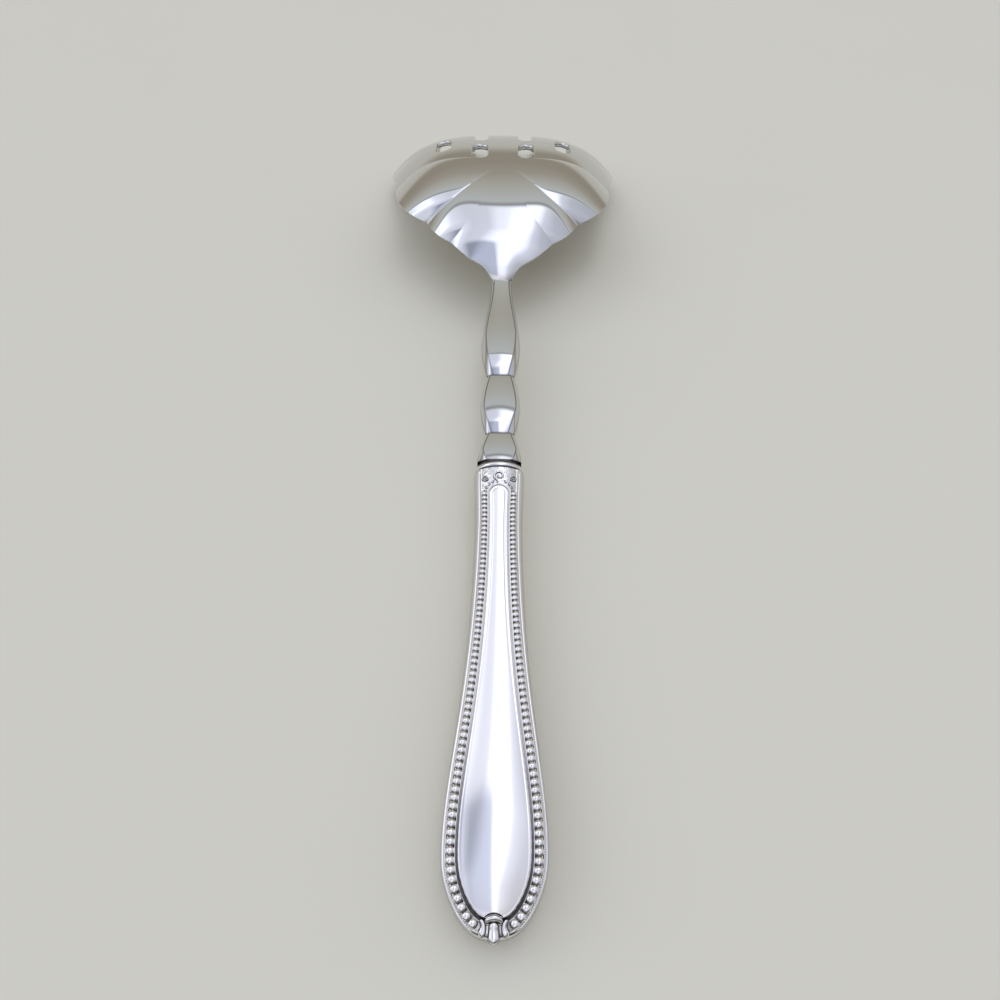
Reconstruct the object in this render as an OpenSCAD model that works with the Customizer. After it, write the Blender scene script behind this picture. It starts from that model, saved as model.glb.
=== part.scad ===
// Serving fork with a hollow handle, lying face down as it rests on a table.
// Built in the fork's own frame: Y runs from the butt to the tines along the handle axis, Z is up,
// and the seam of the two handle shells lies in Z = 0. The last step lays it on the table.

/* [Handle] */
// Length of the two shells from the butt to the mouth
handle_len = 97.6; // [85:0.1:110]
// Widest width, near the butt
belly_w = 20; // [17:0.5:24]
// Narrowest width, near the mouth
waist_w = 11.2; // [9.5:0.1:13]
// Width at the mouth
mouth_w = 12.1; // [11.4:0.1:13.5]
// Thickness over width at the belly
belly_ratio = 0.6; // [0.5:0.01:0.75]
// Thickness over width at the mouth
mouth_ratio = 0.74; // [0.65:0.01:0.85]
// Length of the rounded butt, as far as the widest place
butt_len = 16; // [12:0.5:22]
// Squareness of the rounded butt, 2 is an ellipse
butt_power = 2.3; // [2:0.1:3]
// Wall of the shells
shell_wall = 0.8; // [0.6:0.05:1.2]
// Depth of the border channel that carries the beads
channel_depth = 0.45; // [0.2:0.05:0.6]
// Width of the border channel at the belly
channel_w = 2.5; // [1.8:0.1:3]

/* [Collar] */
// Length of the ring along the handle
collar_len = 2.6; // [2.2:0.1:4]
// Width of the ring at its widest
collar_w = 11.8; // [11.4:0.1:13]
// How far the outside of the ring bulges
collar_swell = 0.4; // [0.2:0.05:0.5]
// Width of the ring's bore, which the tang passes through
collar_bore_w = 8.6; // [7.6:0.1:9.4]

/* [Neck] */
// Length of the half bulge beside the collar
bolster_len = 8.8; // [6:0.1:10]
// Length of the middle bulge
knop_len = 18.9; // [15:0.1:25]
// Length of the long bulge that runs into the bowl
shank_len = 36.7; // [30:0.1:45]
// Width of the half bulge at the collar
bolster_w = 10.7; // [10:0.1:11]
// Width of the middle bulge
knop_w = 10.1; // [9:0.1:12]
// Width of the long bulge
shank_w = 10.4; // [9:0.1:12]
// Width of the two narrow places between the bulges
pinch_w = 7.2; // [6:0.1:8]
// Width where the neck enters the bowl
root_w = 5.7; // [5:0.1:7]
// Neck thickness over its width
neck_ratio = 0.74; // [0.6:0.02:0.75]

/* [Bowl] */
// Length from the neck to the middle tip
head_len = 95.3; // [84:0.1:106]
// Widest width
head_w = 77.7; // [70:0.1:86]
// Distance from the neck to the widest place
shoulder_y = 66.4; // [60:0.1:72]
// Height of the rim over the table at the widest place
shoulder_h = 6; // [4:0.5:8]
// Angle at which the back of the bowl leaves the neck
root_angle = 51; // [42:1:58]
// Reach of the curve that leaves the neck
root_reach = 13.6; // [10:0.2:18]
// Angle at which the tines come down on the table
tip_angle = 52.5; // [45:0.5:60]
// Reach of the curve that comes down to the tips
tip_reach = 48.6; // [42:0.2:56]
// Metal thickness where the bowl joins the neck
root_t = 3; // [2.5:0.1:4]
// Metal thickness of the bowl
bowl_t = 1.7; // [1.4:0.1:2.2]
// Metal thickness at the tips
tip_t = 1; // [0.8:0.1:1.4]
// How far the lobes between the flutes stand out at the rim
lobe_out = 3.5; // [2:0.1:4.5]
// How high the lobes stand up between the flutes at the rim
flute_h = 1.5; // [0.5:0.1:2.2]

/* [Tines and piercings] */
// Width of the slots between the tines, at their closed end
slot_w = 4.7; // [4.4:0.1:5.2]
// Width of the slots at the tips
slot_mouth_w = 6.4; // [5.6:0.1:7.4]
// Width of the piercings
pierce_w = 5.6; // [4.6:0.1:6]
// Length of the piercings
pierce_len = 11.5; // [8:0.5:13]
// Metal left between an inner piercing and its slot
bridge_len = 4.5; // [3.5:0.5:6]
// Metal left between an outer piercing and its slot
outer_bridge_len = 9; // [6:0.5:11]
// Distance of the inner slots from the middle
inner_x = 7.4; // [6.8:0.1:8.4]
// Distance of the outer slots from the middle
outer_x = 19.7; // [18.5:0.1:21]

/* [Tang and rest] */
// Length of the tang inside the handle
tang_len = 52; // [35:1:60]
// Width of the tang at the neck
tang_w = 5.6; // [4.5:0.1:6.2]
// Thickness of the tang at the neck
tang_t = 3.6; // [3:0.1:4]
// Tilt of the handle when the fork rests on its tips and its belly
rest_tilt = 3; // [2:0.1:4.5]

/* [Hidden] */

function mix(a, b, t) = a + (b - a) * t;
function clamp01(t) = min(1, max(0, t));
function smooth(t) = clamp01(t) * clamp01(t) * (3 - 2 * clamp01(t));
function bez(p, t) =
    pow(1 - t, 3) * p[0] + 3 * t * pow(1 - t, 2) * p[1] + 3 * t * t * (1 - t) * p[2] + pow(t, 3) * p[3];
function bez_dir(p, t) =
    pow(1 - t, 2) * (p[1] - p[0]) + 2 * t * (1 - t) * (p[2] - p[1]) + t * t * (p[3] - p[2]);

// Triangles of a grid of points, rows by cols, seen from the side its normals point to; before the column
// mirror_col their diagonals run the other way
function grid_faces(rows, cols, first = 0, flip = false, mirror_col = 0) = [
    for (r = [0 : rows - 2], c = [0 : cols - 2])
        let (a = first + r * cols + c, b = a + cols,
             cell = c < mirror_col ? [[a, a + 1, b], [a + 1, b + 1, b]] : [[a, a + 1, b + 1], [a, b + 1, b]])
            for (f = cell) flip ? [f[0], f[2], f[1]] : f];
// Triangles of a stack of closed rings
function ring_faces(rings, count, closed = false) = [
    for (r = [0 : rings - (closed ? 1 : 2)], c = [0 : count - 1])
        let (a = r * count, b = ((r + 1) % rings) * count, d = (c + 1) % count)
            for (f = [[a + c, a + d, b + d], [a + c, b + d, b + c]]) f];
// Triangles between two lines of points that run the same way, with the points spread evenly over each other
function zip_faces(a, b) =
    let (na = len(a) - 1, nb = len(b) - 1, facing = [for (i = [0 : na - 1]) round((i + 0.5) * nb / na)])
        concat([for (i = [0 : na - 1]) [a[i], a[i + 1], b[facing[i]]]],
               [for (j = [0 : nb - 1]) [a[len([for (f = facing) if (f <= j) f])], b[j + 1], b[j]]]);
function flatten(lists) = [for (l = lists) for (v = l) v];

// Handle outline: rows of [distance from the butt, half width]
waist_share = 0.84;
waist_y = waist_share * handle_len;
// The butt ends in a small flat, which starts at this angle of the rounding
butt_start = 4;
butt_steps = 10;
taper_steps = 16;
mouth_steps = 5;
taper_pull = [0.21, 0.42];
mouth_pull = [0.4, 0.7];
butt_rows = [for (i = [0 : butt_steps])
    let (a = mix(butt_start, 90, i / butt_steps))
        [butt_len * (1 - pow(cos(a), 2 / butt_power)), belly_w / 2 * pow(sin(a), 2 / butt_power)]];
taper_curve = [[butt_len, belly_w / 2], [mix(butt_len, waist_y, taper_pull[0]), belly_w / 2],
               [mix(butt_len, waist_y, taper_pull[1]), waist_w / 2], [waist_y, waist_w / 2]];
mouth_curve = [[waist_y, waist_w / 2], [mix(waist_y, handle_len, mouth_pull[0]), waist_w / 2],
               [mix(waist_y, handle_len, mouth_pull[1]), mouth_w / 2], [handle_len, mouth_w / 2]];
handle_rows = concat(butt_rows, [for (i = [1 : taper_steps]) bez(taper_curve, i / taper_steps)],
                     [for (i = [1 : mouth_steps]) bez(mouth_curve, i / mouth_steps)]);
function half_thick(row) = row[1] * mix(belly_ratio, mouth_ratio, row[0] / handle_len);

// Section of the outer face of a shell, from the right seam over the top to the left seam
// The rounding beside the seam and the channel are given at the butt and at the mouth, and never take
// more than a share of the half width
rim_share = 0.66;
seam_round = [0.9, 1.6];
seam_round_share = 0.28;
channel_taper = 0.65;
channel_run = [channel_w, channel_taper * channel_w];
channel_share = 0.3;
plain_butt = 3;
plain_mouth = 4;
relief_fade = 4;
function side_run(row) =
    min(mix(seam_round[0], seam_round[1], row[0] / handle_len), seam_round_share * row[1]);
function border_run(row) =
    min(mix(channel_run[0], channel_run[1], row[0] / handle_len), channel_share * row[1]);
function relief(y) =
    smooth((y - plain_butt) / relief_fade) * smooth((handle_len - plain_mouth - y) / relief_fade);
function face_z(row, x) =
    let (h = half_thick(row), edge = row[1] - side_run(row))
        h * (rim_share + (1 - rim_share) * (1 - pow(x / edge, 2)));
function half_section(row) =
    let (w = row[1], b = side_run(row), g = border_run(row), floor_z = channel_depth * relief(row[0]))
        concat([for (a = [0, 30, 60, 90]) [w - b * (1 - cos(a)), rim_share * half_thick(row) * sin(a)]],
               [for (k = [0.25, 0.8]) [w - b - k * g, face_z(row, w - b - k * g) - floor_z]],
               [for (k = [1, 0.75, 0.5, 0.25, 0]) [k * (w - b - g), face_z(row, k * (w - b - g))]]);
function outer_section(row) =
    let (half = half_section(row), n = len(half))
        concat(half, [for (i = [n - 2 : -1 : 0]) [-half[i][0], half[i][1]]]);
outer_points = flatten([for (row = handle_rows) [for (p = outer_section(row)) [p[0], row[0], p[1]]]]);
outer_cols = len(outer_section(handle_rows[0]));

// Section of the cavity, a half ellipse, on every second row
cavity_steps = 12;
cavity_start = 3;
cavity_under_channel = 0.8 * channel_depth;
cavity_rows = [for (i = [cavity_start : 2 : len(handle_rows) - 1]) handle_rows[i]];
function cavity_w(row) = row[1] - shell_wall;
function cavity_h(row) = half_thick(row) - shell_wall - cavity_under_channel;
cavity_points = flatten([for (row = cavity_rows) [for (i = [0 : cavity_steps])
    let (a = 180 * i / cavity_steps) [cavity_w(row) * cos(a), row[0], cavity_h(row) * sin(a)]]]);

// Neck rows: [distance from the butt, half width]; a bulge is two quarter waves
bolster_y = handle_len + collar_len;
knop_y = bolster_y + bolster_len;
shank_y = knop_y + knop_len;
root_y = shank_y + shank_len;
peak_share = [0.46, 0.28];
knop_peak_y = mix(knop_y, shank_y, peak_share[0]);
shank_peak_y = mix(shank_y, root_y, peak_share[1]);
wave_steps = 5;
run_out_steps = 8;
function rise(y0, w0, y1, w1) = [for (i = [1 : wave_steps])
    [mix(y0, y1, i / wave_steps), mix(w0, w1, sin(90 * i / wave_steps)) / 2]];
function fall(y0, w0, y1, w1) = [for (i = [1 : wave_steps])
    [mix(y0, y1, i / wave_steps), mix(w0, w1, 1 - cos(90 * i / wave_steps)) / 2]];
neck_rows = concat(
    [[bolster_y, bolster_w / 2]], fall(bolster_y, bolster_w, knop_y, pinch_w),
    rise(knop_y, pinch_w, knop_peak_y, knop_w), fall(knop_peak_y, knop_w, shank_y, pinch_w),
    rise(shank_y, pinch_w, shank_peak_y, shank_w),
    [for (i = [1 : run_out_steps])
        [mix(shank_peak_y, root_y, i / run_out_steps),
         mix(shank_w, root_w, (1 - cos(180 * i / run_out_steps)) / 2) / 2]]);
root_top = root_w / 2 * neck_ratio;
// Flats along the top and the sides, as shares of the half width and the half thickness; beside the
// collar the top flat narrows and the section gets lower, so that its corners stay on the ring
pinch_flats = [0.58, 0.7];
bulge_flats = [0.66, 0.42];
collar_flats = [0.5, 0.3];
collar_low = 0.92;
function at_collar(row) = clamp01((knop_y - row[0]) / bolster_len);
function at_bulge(row) = clamp01((2 * row[1] - pinch_w) / (knop_w - pinch_w));
function flats(row) = mix(mix(pinch_flats, bulge_flats, at_bulge(row)), collar_flats, at_collar(row));
function neck_h(row) = row[1] * neck_ratio * mix(1, collar_low, at_collar(row));
function octagon(w, h, f) = [[w, f[1] * h], [f[0] * w, h], [-f[0] * w, h], [-w, f[1] * h],
                             [-w, -f[1] * h], [-f[0] * w, -h], [f[0] * w, -h], [w, -f[1] * h]];
function octagon_ring(y, z, tilt, w, h, f) = [for (p = octagon(w, h, f))
    [p[0], y - p[1] * sin(tilt), z + p[1] * cos(tilt)]];

// Table, seen from the fork's frame: a plane under the belly and the tips
table_drop = max([for (row = handle_rows) half_thick(row) - row[0] * tan(rest_tilt)]);
function table_z(y) = -(table_drop + y * tan(rest_tilt));

// Back of the bowl: a spine in the middle, and veins that run from the spine out to the rim
spine = [[root_y, root_top],
         [root_y + root_reach * cos(root_angle), root_top + root_reach * sin(root_angle)],
         [root_y + head_len - tip_reach * cos(tip_angle),
          table_z(root_y + head_len) + tip_t + tip_reach * sin(tip_angle)],
         [root_y + head_len, table_z(root_y + head_len) + tip_t]];
front_y = root_y + head_len;
// Shares of lobe_out and flute_h that the lobe over the outer tine has, and the power of its fade inwards
tine_lobe = [0.165, 0.33, 4];
shoulder_x = head_w / 2 - tine_lobe[0] * lobe_out;
// Pulls of the two outline curves, as shares of their width and length
side_pull = [[0.177, 0.13], [0.745, 0.181]];
front_pull = [[1.01, 0.45], [0.6, 1]];
tip_half = 0.8;
side_curve = [[root_w / 2, root_y],
              [side_pull[0][0] * shoulder_x, root_y + side_pull[0][1] * shoulder_y],
              [side_pull[1][0] * shoulder_x, root_y + side_pull[1][1] * shoulder_y],
              [shoulder_x, root_y + shoulder_y]];
front_curve = [[shoulder_x, root_y + shoulder_y],
               [front_pull[0][0] * shoulder_x, mix(root_y + shoulder_y, front_y, front_pull[0][1])],
               [front_pull[1][0] * shoulder_x, mix(root_y + shoulder_y, front_y, front_pull[1][1])],
               [tip_half, front_y]];
// Lobes of the rim: [start and end along the side, share of lobe_out, share of flute_h, power of the fade
// inwards], with sharp valleys between neighbours; the first swells gently from the neck, and the lobe over
// the outer tine follows the last and runs on along the front
lobes = [[0.12, 0.42, 0.23, 0.23, 5], [0.42, 0.6, 0.28, 0.37, 8], [0.6, 0.88, 1, 1, 2]];
lobe_round = 0.8;
flute_round = 0.5;
tine_lobe_start = lobes[2][1];
tine_lobe_fade = 0.5;
function lobe_wave(l, t, power) =
    let (place = clamp01((t - l[0]) / (l[1] - l[0])))
        l == lobes[0] && place < 0.5 ? smooth(2 * place) : pow(max(0, sin(180 * place)), power);
function tine_lobe_wave(t) = sin(90 * clamp01((t - tine_lobe_start) / (1 - tine_lobe_start)))
    * (1 - smooth((t - 1) / tine_lobe_fade));
function lobe_share(t) = t > tine_lobe_start
    ? tine_lobe[0] * tine_lobe_wave(t)
    : max([for (l = lobes) l[2] * lobe_wave(l, t, lobe_round)]);
function flute_share(t, s) = t > tine_lobe_start
    ? tine_lobe[1] * tine_lobe_wave(t) * pow(s, tine_lobe[2])
    : max([for (l = lobes) l[3] * lobe_wave(l, t, flute_round) * pow(s, l[4])]);
function rim_point(curve, t, place) =
    let (d = bez_dir(curve, t))
        bez(curve, t) + lobe_out * lobe_share(place) * [d[1], -d[0]] / norm(d);
side_veins = 50;
front_veins = 14;
vein_cols = 10;
// The veins fan out from the middle of the bowl, at this share of the spine; a part of them is spread evenly,
// so that neighbours stay apart there, and each crosses the spine in a round and bows on its way to the rim
fan_at = 0.58;
fan_power = 4;
fan_spread = 0.25;
vein_round = 0.25;
vein_bow = 0.6;
// A vein is [rim point, share of the spine, place along the rim: 0 to 1 on the side, 1 to 2 on the front]
side_spread = [for (i = [0 : side_veins]) i / side_veins];
front_spread = [for (i = [1 : front_veins]) i / front_veins];
veins = concat([for (t = side_spread)
                   let (share = fan_at * mix(1 - pow(1 - t, fan_power), t, fan_spread))
                       [rim_point(side_curve, t, t), share, t]],
               [for (t = front_spread)
                   let (share = mix(fan_at, 1, mix(1 - cos(90 * t), t, fan_spread)))
                       [rim_point(front_curve, t, 1 + t), share, 1 + t]]);
// Height of the back: as high as the spine at the same distance from the neck, less a drop towards the rim
spine_steps = 60;
spine_line = [for (i = [0 : spine_steps]) bez(spine, i / spine_steps)];
function over_table(y) = lookup(y, spine_line) - table_z(y);
root_drop = 0.4;
drop_power = 2;
shoulder_drop = over_table(root_y + shoulder_y) - shoulder_h;
function rim_drop(y, place) = place <= 1
    ? mix(root_drop, shoulder_drop, pow(place, drop_power))
    : over_table(y) - mix(shoulder_h, tip_t, smooth(place - 1));
dome_power = 3.7;
function vein_run(s) =
    let (run = (norm([s, vein_round]) - vein_round) / (norm([1, vein_round]) - vein_round))
        run * (1 + vein_bow - vein_bow * run);
function back_point(v, s) =
    let (rim = v[0], a = abs(s), y = mix(bez(spine, v[1])[0], rim[1], vein_run(s)),
         drop = rim_drop(rim[1], v[2]) * pow(a, dome_power))
        [rim[0] * s, y, lookup(y, spine_line) - drop + flute_h * flute_share(v[2], a)];
// The columns of a vein crowd towards the rim
function col_place(c) = sin(90 * c / vein_cols);
back_points = [for (v = veins) [for (c = [vein_cols : -1 : -vein_cols]) back_point(v, col_place(c))]];
last_vein = len(veins) - 1;
last_col = 2 * vein_cols;
root_fade = 20;
thin_share = 0.55;
thin_from = thin_share * head_len;
function metal_t(y) =
    let (d = y - root_y)
        bowl_t + (root_t - bowl_t) * pow(clamp01(1 - d / root_fade), 2)
        - (bowl_t - tip_t) * smooth((d - thin_from) / (head_len - thin_from));
// Along the side the metal thins out towards the rim, and along the front it does so less and less
rim_thin = 0.55;
rim_thin_power = 4;
front_thin_fade = 0.5;
function edge_share(place, s) =
    mix(1, mix(rim_thin, 1, smooth((place - 1) / front_thin_fade)), pow(abs(s), rim_thin_power));
function unit(v) = v / norm(v);
function back_normal(r, c) =
    unit(cross(back_points[r][max(0, c - 1)] - back_points[r][min(last_col, c + 1)],
               back_points[min(last_vein, r + 1)][c] - back_points[max(0, r - 1)][c]));
function hollow_point(r, c) =
    let (p = back_points[r][c], t = metal_t(p[1]) * edge_share(veins[r][2], col_place(vein_cols - c)),
         q = p - t * back_normal(r, c))
        [q[0], q[1], max(q[2], table_z(q[1]))];
hollow_points = [for (r = [0 : last_vein]) [for (c = [0 : last_col]) hollow_point(r, c)]];

// Pose on the table, and the middle of the whole length
function on_table_y(p) = p[1] * cos(rest_tilt) - p[2] * sin(rest_tilt);
head_end = max([for (p = concat(back_points[last_vein], hollow_points[last_vein])) on_table_y(p)]);
butt_end = min([for (p = outer_points) on_table_y(p)]);
module on_table() {
    lift = table_drop * cos(rest_tilt);
    translate([0, -(head_end + butt_end) / 2, lift]) rotate([rest_tilt, 0, 0]) children();
}

steel = [0.78, 0.79, 0.8];
silver = [0.82, 0.8, 0.76];
cement = [0.25, 0.23, 0.21];

tang_taper = 0.6;
module tang() {
    translate([0, bolster_y, 0]) rotate([90, 0, 0])
        linear_extrude(tang_len, scale = tang_taper) square([tang_w, tang_t], center = true);
}

// Past the root the neck bends up under the back of the bowl and thins out inside its metal: places along
// the spine, then width, thickness and depth of the rings there
bend_at = [0.045, 0.09, 0.14];
bend_w = 0.2 * root_w;
bend_thick = 0.35;
bend_sink = 0.8;
bend_turn = 12;
module neck() {
    bend = [for (t = bend_at)
        let (p = bez(spine, t), d = bez_dir(spine, t), a = atan2(d[1], d[0]) * min(1, bend_turn * t),
             h = bend_thick * metal_t(p[0]), sink = h + bend_sink)
            octagon_ring(p[0] + sink * sin(a), p[1] - sink * cos(a), a, bend_w, h, collar_flats)];
    straight = [for (row = neck_rows) octagon_ring(row[0], 0, 0, row[1], neck_h(row), flats(row))];
    rings = concat(straight, bend);
    n = len(rings);
    polyhedron(flatten(rings),
               concat(ring_faces(n, 8), [[for (c = [7 : -1 : 0]) c], [for (c = [0 : 7]) (n - 1) * 8 + c]]));
}

module bowl_sheet() {
    rows = last_vein + 1;
    cols = last_col + 1;
    under = rows * cols;
    edge = concat([for (r = [0 : last_vein]) r * cols],
                  [for (c = [1 : last_col]) last_vein * cols + c],
                  [for (r = [last_vein - 1 : -1 : 0]) r * cols + last_col],
                  [for (c = [last_col - 1 : -1 : 1]) c]);
    n = len(edge);
    wall = [for (i = [0 : n - 1])
        let (a = edge[i], b = edge[(i + 1) % n])
            for (f = [[a, b, b + under], [a, b + under, a + under]]) f];
    polyhedron(concat(flatten(back_points), flatten(hollow_points)),
               concat(grid_faces(rows, cols, 0, false, vein_cols),
                      grid_faces(rows, cols, under, true, vein_cols), wall));
}

// One slot with rounded tine corners at its mouth, from its closed end to a place on the front edge
tine_round = 2.2;
past_tips = 4;
cut_depth = head_len;
cut_fn = 24;
module slot(x, y, mouth) {
    end = bez(front_curve, mouth);
    run = norm(end - [x, y]);
    turn = atan2(end[0] - x, end[1] - y);
    translate([x, y, -cut_depth / 2]) rotate([0, 0, -turn]) linear_extrude(cut_depth) {
        hull() {
            translate([0, slot_w / 2]) circle(slot_w / 2, $fn = cut_fn);
            translate([0, run + past_tips]) circle(slot_mouth_w / 2, $fn = cut_fn);
        }
        difference() {
            translate([-slot_mouth_w / 2 - tine_round, run - tine_round])
                square([slot_mouth_w + 2 * tine_round, 3 * tine_round]);
            for (side = [-1, 1])
                translate([side * (slot_mouth_w / 2 + tine_round), run - tine_round])
                    circle(tine_round, $fn = cut_fn);
        }
    }
}

module piercing(x, y, bridge) {
    hull() for (d = [bridge + pierce_w / 2, bridge + pierce_len - pierce_w / 2])
        translate([x, y - d, -cut_depth / 2]) cylinder(cut_depth, d = pierce_w, $fn = cut_fn);
}

// Closed ends of the slots, and the places on the front edge that they run out to
slot_share = [0.663, 0.79];
inner_y = root_y + slot_share[0] * head_len;
outer_y = root_y + slot_share[1] * head_len;
inner_mouth = 0.9;
outer_mouth = 0.655;
module fork_forging() {
    color(steel) on_table() {
        difference() {
            bowl_sheet();
            for (side = [-1, 1]) scale([side, 1, 1]) {
                slot(inner_x, inner_y, inner_mouth);
                slot(outer_x, outer_y, outer_mouth);
                piercing(inner_x, inner_y, bridge_len);
                piercing(outer_x, outer_y, outer_bridge_len);
            }
        }
        neck();
        tang();
    }
}

module shell() {
    rows = len(handle_rows);
    in_rows = len(cavity_rows);
    in_cols = cavity_steps + 1;
    first = rows * outer_cols;
    last = (rows - 1) * outer_cols;
    in_last = first + (in_rows - 1) * in_cols;
    right = [for (r = [0 : rows - 1]) r * outer_cols];
    left = [for (r = [0 : rows - 1]) (r + 1) * outer_cols - 1];
    in_right = [for (r = [0 : in_rows - 1]) first + r * in_cols];
    in_left = [for (r = [0 : in_rows - 1]) first + r * in_cols + cavity_steps];
    // The flat seam: a strip on each side of the cavity, and the solid butt before it
    solid_rows = cavity_start - 1;
    seam = concat(zip_faces([for (r = [cavity_start : rows - 1]) right[r]], in_right),
                  zip_faces(in_left, [for (r = [cavity_start : rows - 1]) left[r]]),
                  zip_faces([for (r = [0 : solid_rows]) right[r]], [for (r = [0 : solid_rows]) left[r]]),
                  [[right[solid_rows], right[cavity_start], in_right[0]],
                   [right[solid_rows], in_right[0], in_left[0]],
                   [right[solid_rows], in_left[0], left[solid_rows]],
                   [left[solid_rows], in_left[0], left[cavity_start]]]);
    mouth = zip_faces([for (c = [0 : outer_cols - 1]) last + c], [for (c = [0 : cavity_steps]) in_last + c]);
    butt = [for (c = [outer_cols - 1 : -1 : 0]) c];
    cavity_end = [for (c = [0 : cavity_steps]) first + c];
    polyhedron(concat(outer_points, cavity_points),
               concat(grid_faces(rows, outer_cols, 0, false, outer_cols / 2),
                      grid_faces(in_rows, in_cols, first, true, in_cols / 2),
                      seam, mouth, [butt, cavity_end]));
}

module handle_front_shell() {
    color(silver) on_table() shell();
}

module handle_back_shell() {
    color(silver) on_table() mirror([0, 0, 1]) shell();
}

// Ring with a convex outside, seated on the ends of the shells
ring_steps = 2 * cavity_steps;
function oval_ring(w, h, y) = [for (i = [0 : ring_steps - 1])
    [w * cos(360 * i / ring_steps), y, h * sin(360 * i / ring_steps)]];
function bore_ring(y) = oval_ring(collar_bore_w / 2, collar_bore_w / 2 * mouth_ratio, y);
module handle_collar() {
    swell_rows = 6;
    outside = [for (k = [0 : swell_rows])
        let (w = collar_w / 2 - collar_swell * (1 - sin(180 * k / swell_rows)))
            oval_ring(w, w * mouth_ratio, handle_len + collar_len * k / swell_rows)];
    inside = [for (y = [handle_len + collar_len, handle_len]) bore_ring(y)];
    rings = concat(outside, inside);
    color(silver) on_table() polyhedron(flatten(rings), ring_faces(len(rings), ring_steps, true));
}

// The filler starts past the end of the tang, fits the cavity and runs through the ring to the neck
cement_past_tang = 4;
cement_start = bolster_y - tang_len - cement_past_tang;
function cavity_ring(y) = oval_ring(lookup(y, [for (row = cavity_rows) [row[0], cavity_w(row)]]),
                                    lookup(y, [for (row = cavity_rows) [row[0], cavity_h(row)]]), y);
module tang_cement() {
    stations = concat([cement_start], [for (row = cavity_rows) if (row[0] > cement_start + 1) row[0]]);
    rings = concat([for (y = stations) cavity_ring(y)], [bore_ring(handle_len), bore_ring(bolster_y)]);
    n = len(rings);
    color(cement) on_table() difference() {
        polyhedron(flatten(rings),
                   concat(ring_faces(n, ring_steps),
                          [[for (c = [ring_steps - 1 : -1 : 0]) c],
                           [for (c = [0 : ring_steps - 1]) (n - 1) * ring_steps + c]]));
        tang();
    }
}

fork_forging();
handle_front_shell();
handle_back_shell();
handle_collar();
tang_cement();
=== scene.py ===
import math

import bpy
import numpy as np
from mathutils import Euler, Matrix, Vector
from mathutils.geometry import delaunay_2d_cdt

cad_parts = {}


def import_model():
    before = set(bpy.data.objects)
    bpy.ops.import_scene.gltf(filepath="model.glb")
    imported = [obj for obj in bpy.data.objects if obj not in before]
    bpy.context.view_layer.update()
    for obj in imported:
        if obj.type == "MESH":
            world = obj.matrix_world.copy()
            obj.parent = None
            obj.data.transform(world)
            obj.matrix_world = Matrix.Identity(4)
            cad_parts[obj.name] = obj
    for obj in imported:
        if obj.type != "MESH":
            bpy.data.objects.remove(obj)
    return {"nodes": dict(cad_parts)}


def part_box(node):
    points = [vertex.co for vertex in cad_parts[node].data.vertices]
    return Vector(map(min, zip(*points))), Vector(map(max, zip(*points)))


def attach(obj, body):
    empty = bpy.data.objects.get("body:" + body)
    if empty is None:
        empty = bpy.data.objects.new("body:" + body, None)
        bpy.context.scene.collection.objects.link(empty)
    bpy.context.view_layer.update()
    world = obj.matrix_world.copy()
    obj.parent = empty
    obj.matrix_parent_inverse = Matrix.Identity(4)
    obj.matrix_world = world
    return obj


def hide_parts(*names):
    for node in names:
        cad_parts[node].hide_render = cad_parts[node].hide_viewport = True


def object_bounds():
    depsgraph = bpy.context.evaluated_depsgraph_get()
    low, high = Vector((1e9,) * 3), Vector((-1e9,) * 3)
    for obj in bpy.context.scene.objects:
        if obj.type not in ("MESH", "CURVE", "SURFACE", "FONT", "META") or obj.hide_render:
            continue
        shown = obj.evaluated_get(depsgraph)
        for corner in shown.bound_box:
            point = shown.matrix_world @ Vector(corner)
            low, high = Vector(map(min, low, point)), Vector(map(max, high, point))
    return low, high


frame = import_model()
cad_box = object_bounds()

# Sizes of the part in millimetres, in the fork's own frame: Y from the butt to the tines along the
# handle axis, Z up, seam of the handle shells in Z = 0
MM = 0.001
HANDLE_LEN, BELLY_W, WAIST_W, MOUTH_W = 97.6, 20.0, 11.2, 12.1
BELLY_RATIO, MOUTH_RATIO = 0.6, 0.74
BUTT_LEN, BUTT_POWER, WAIST_SHARE = 16.0, 2.3, 0.84
COLLAR_LEN, COLLAR_W = 2.6, 11.8
BOLSTER_LEN, KNOP_LEN, SHANK_LEN = 8.8, 18.9, 36.7
BOLSTER_W, KNOP_W, SHANK_W, PINCH_W, ROOT_W = 10.7, 10.1, 10.4, 7.2, 5.7
NECK_RATIO = 0.74
HEAD_LEN, HEAD_W, SHOULDER_Y, SHOULDER_H = 95.3, 77.7, 66.4, 6.0
ROOT_ANGLE, ROOT_REACH, TIP_ANGLE, TIP_REACH = 51.0, 13.6, 52.5, 48.6
ROOT_T, BOWL_T, TIP_T = 3.0, 1.7, 1.0
LOBE_OUT, FLUTE_H = 3.5, 1.5
SLOT_W, SLOT_MOUTH_W, TINE_ROUND = 4.7, 6.4, 2.2
PIERCE_W, PIERCE_LEN, INNER_BRIDGE, OUTER_BRIDGE = 5.6, 11.5, 4.5, 9.0
INNER_X, OUTER_X = 7.4, 19.7
SHELL_WALL = 0.8
REST_TILT = math.radians(3)

BOLSTER_Y = HANDLE_LEN + COLLAR_LEN
KNOP_Y = BOLSTER_Y + BOLSTER_LEN
SHANK_Y = KNOP_Y + KNOP_LEN
ROOT_Y = SHANK_Y + SHANK_LEN
FRONT_Y = ROOT_Y + HEAD_LEN
ROOT_TOP = ROOT_W / 2 * NECK_RATIO

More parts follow.
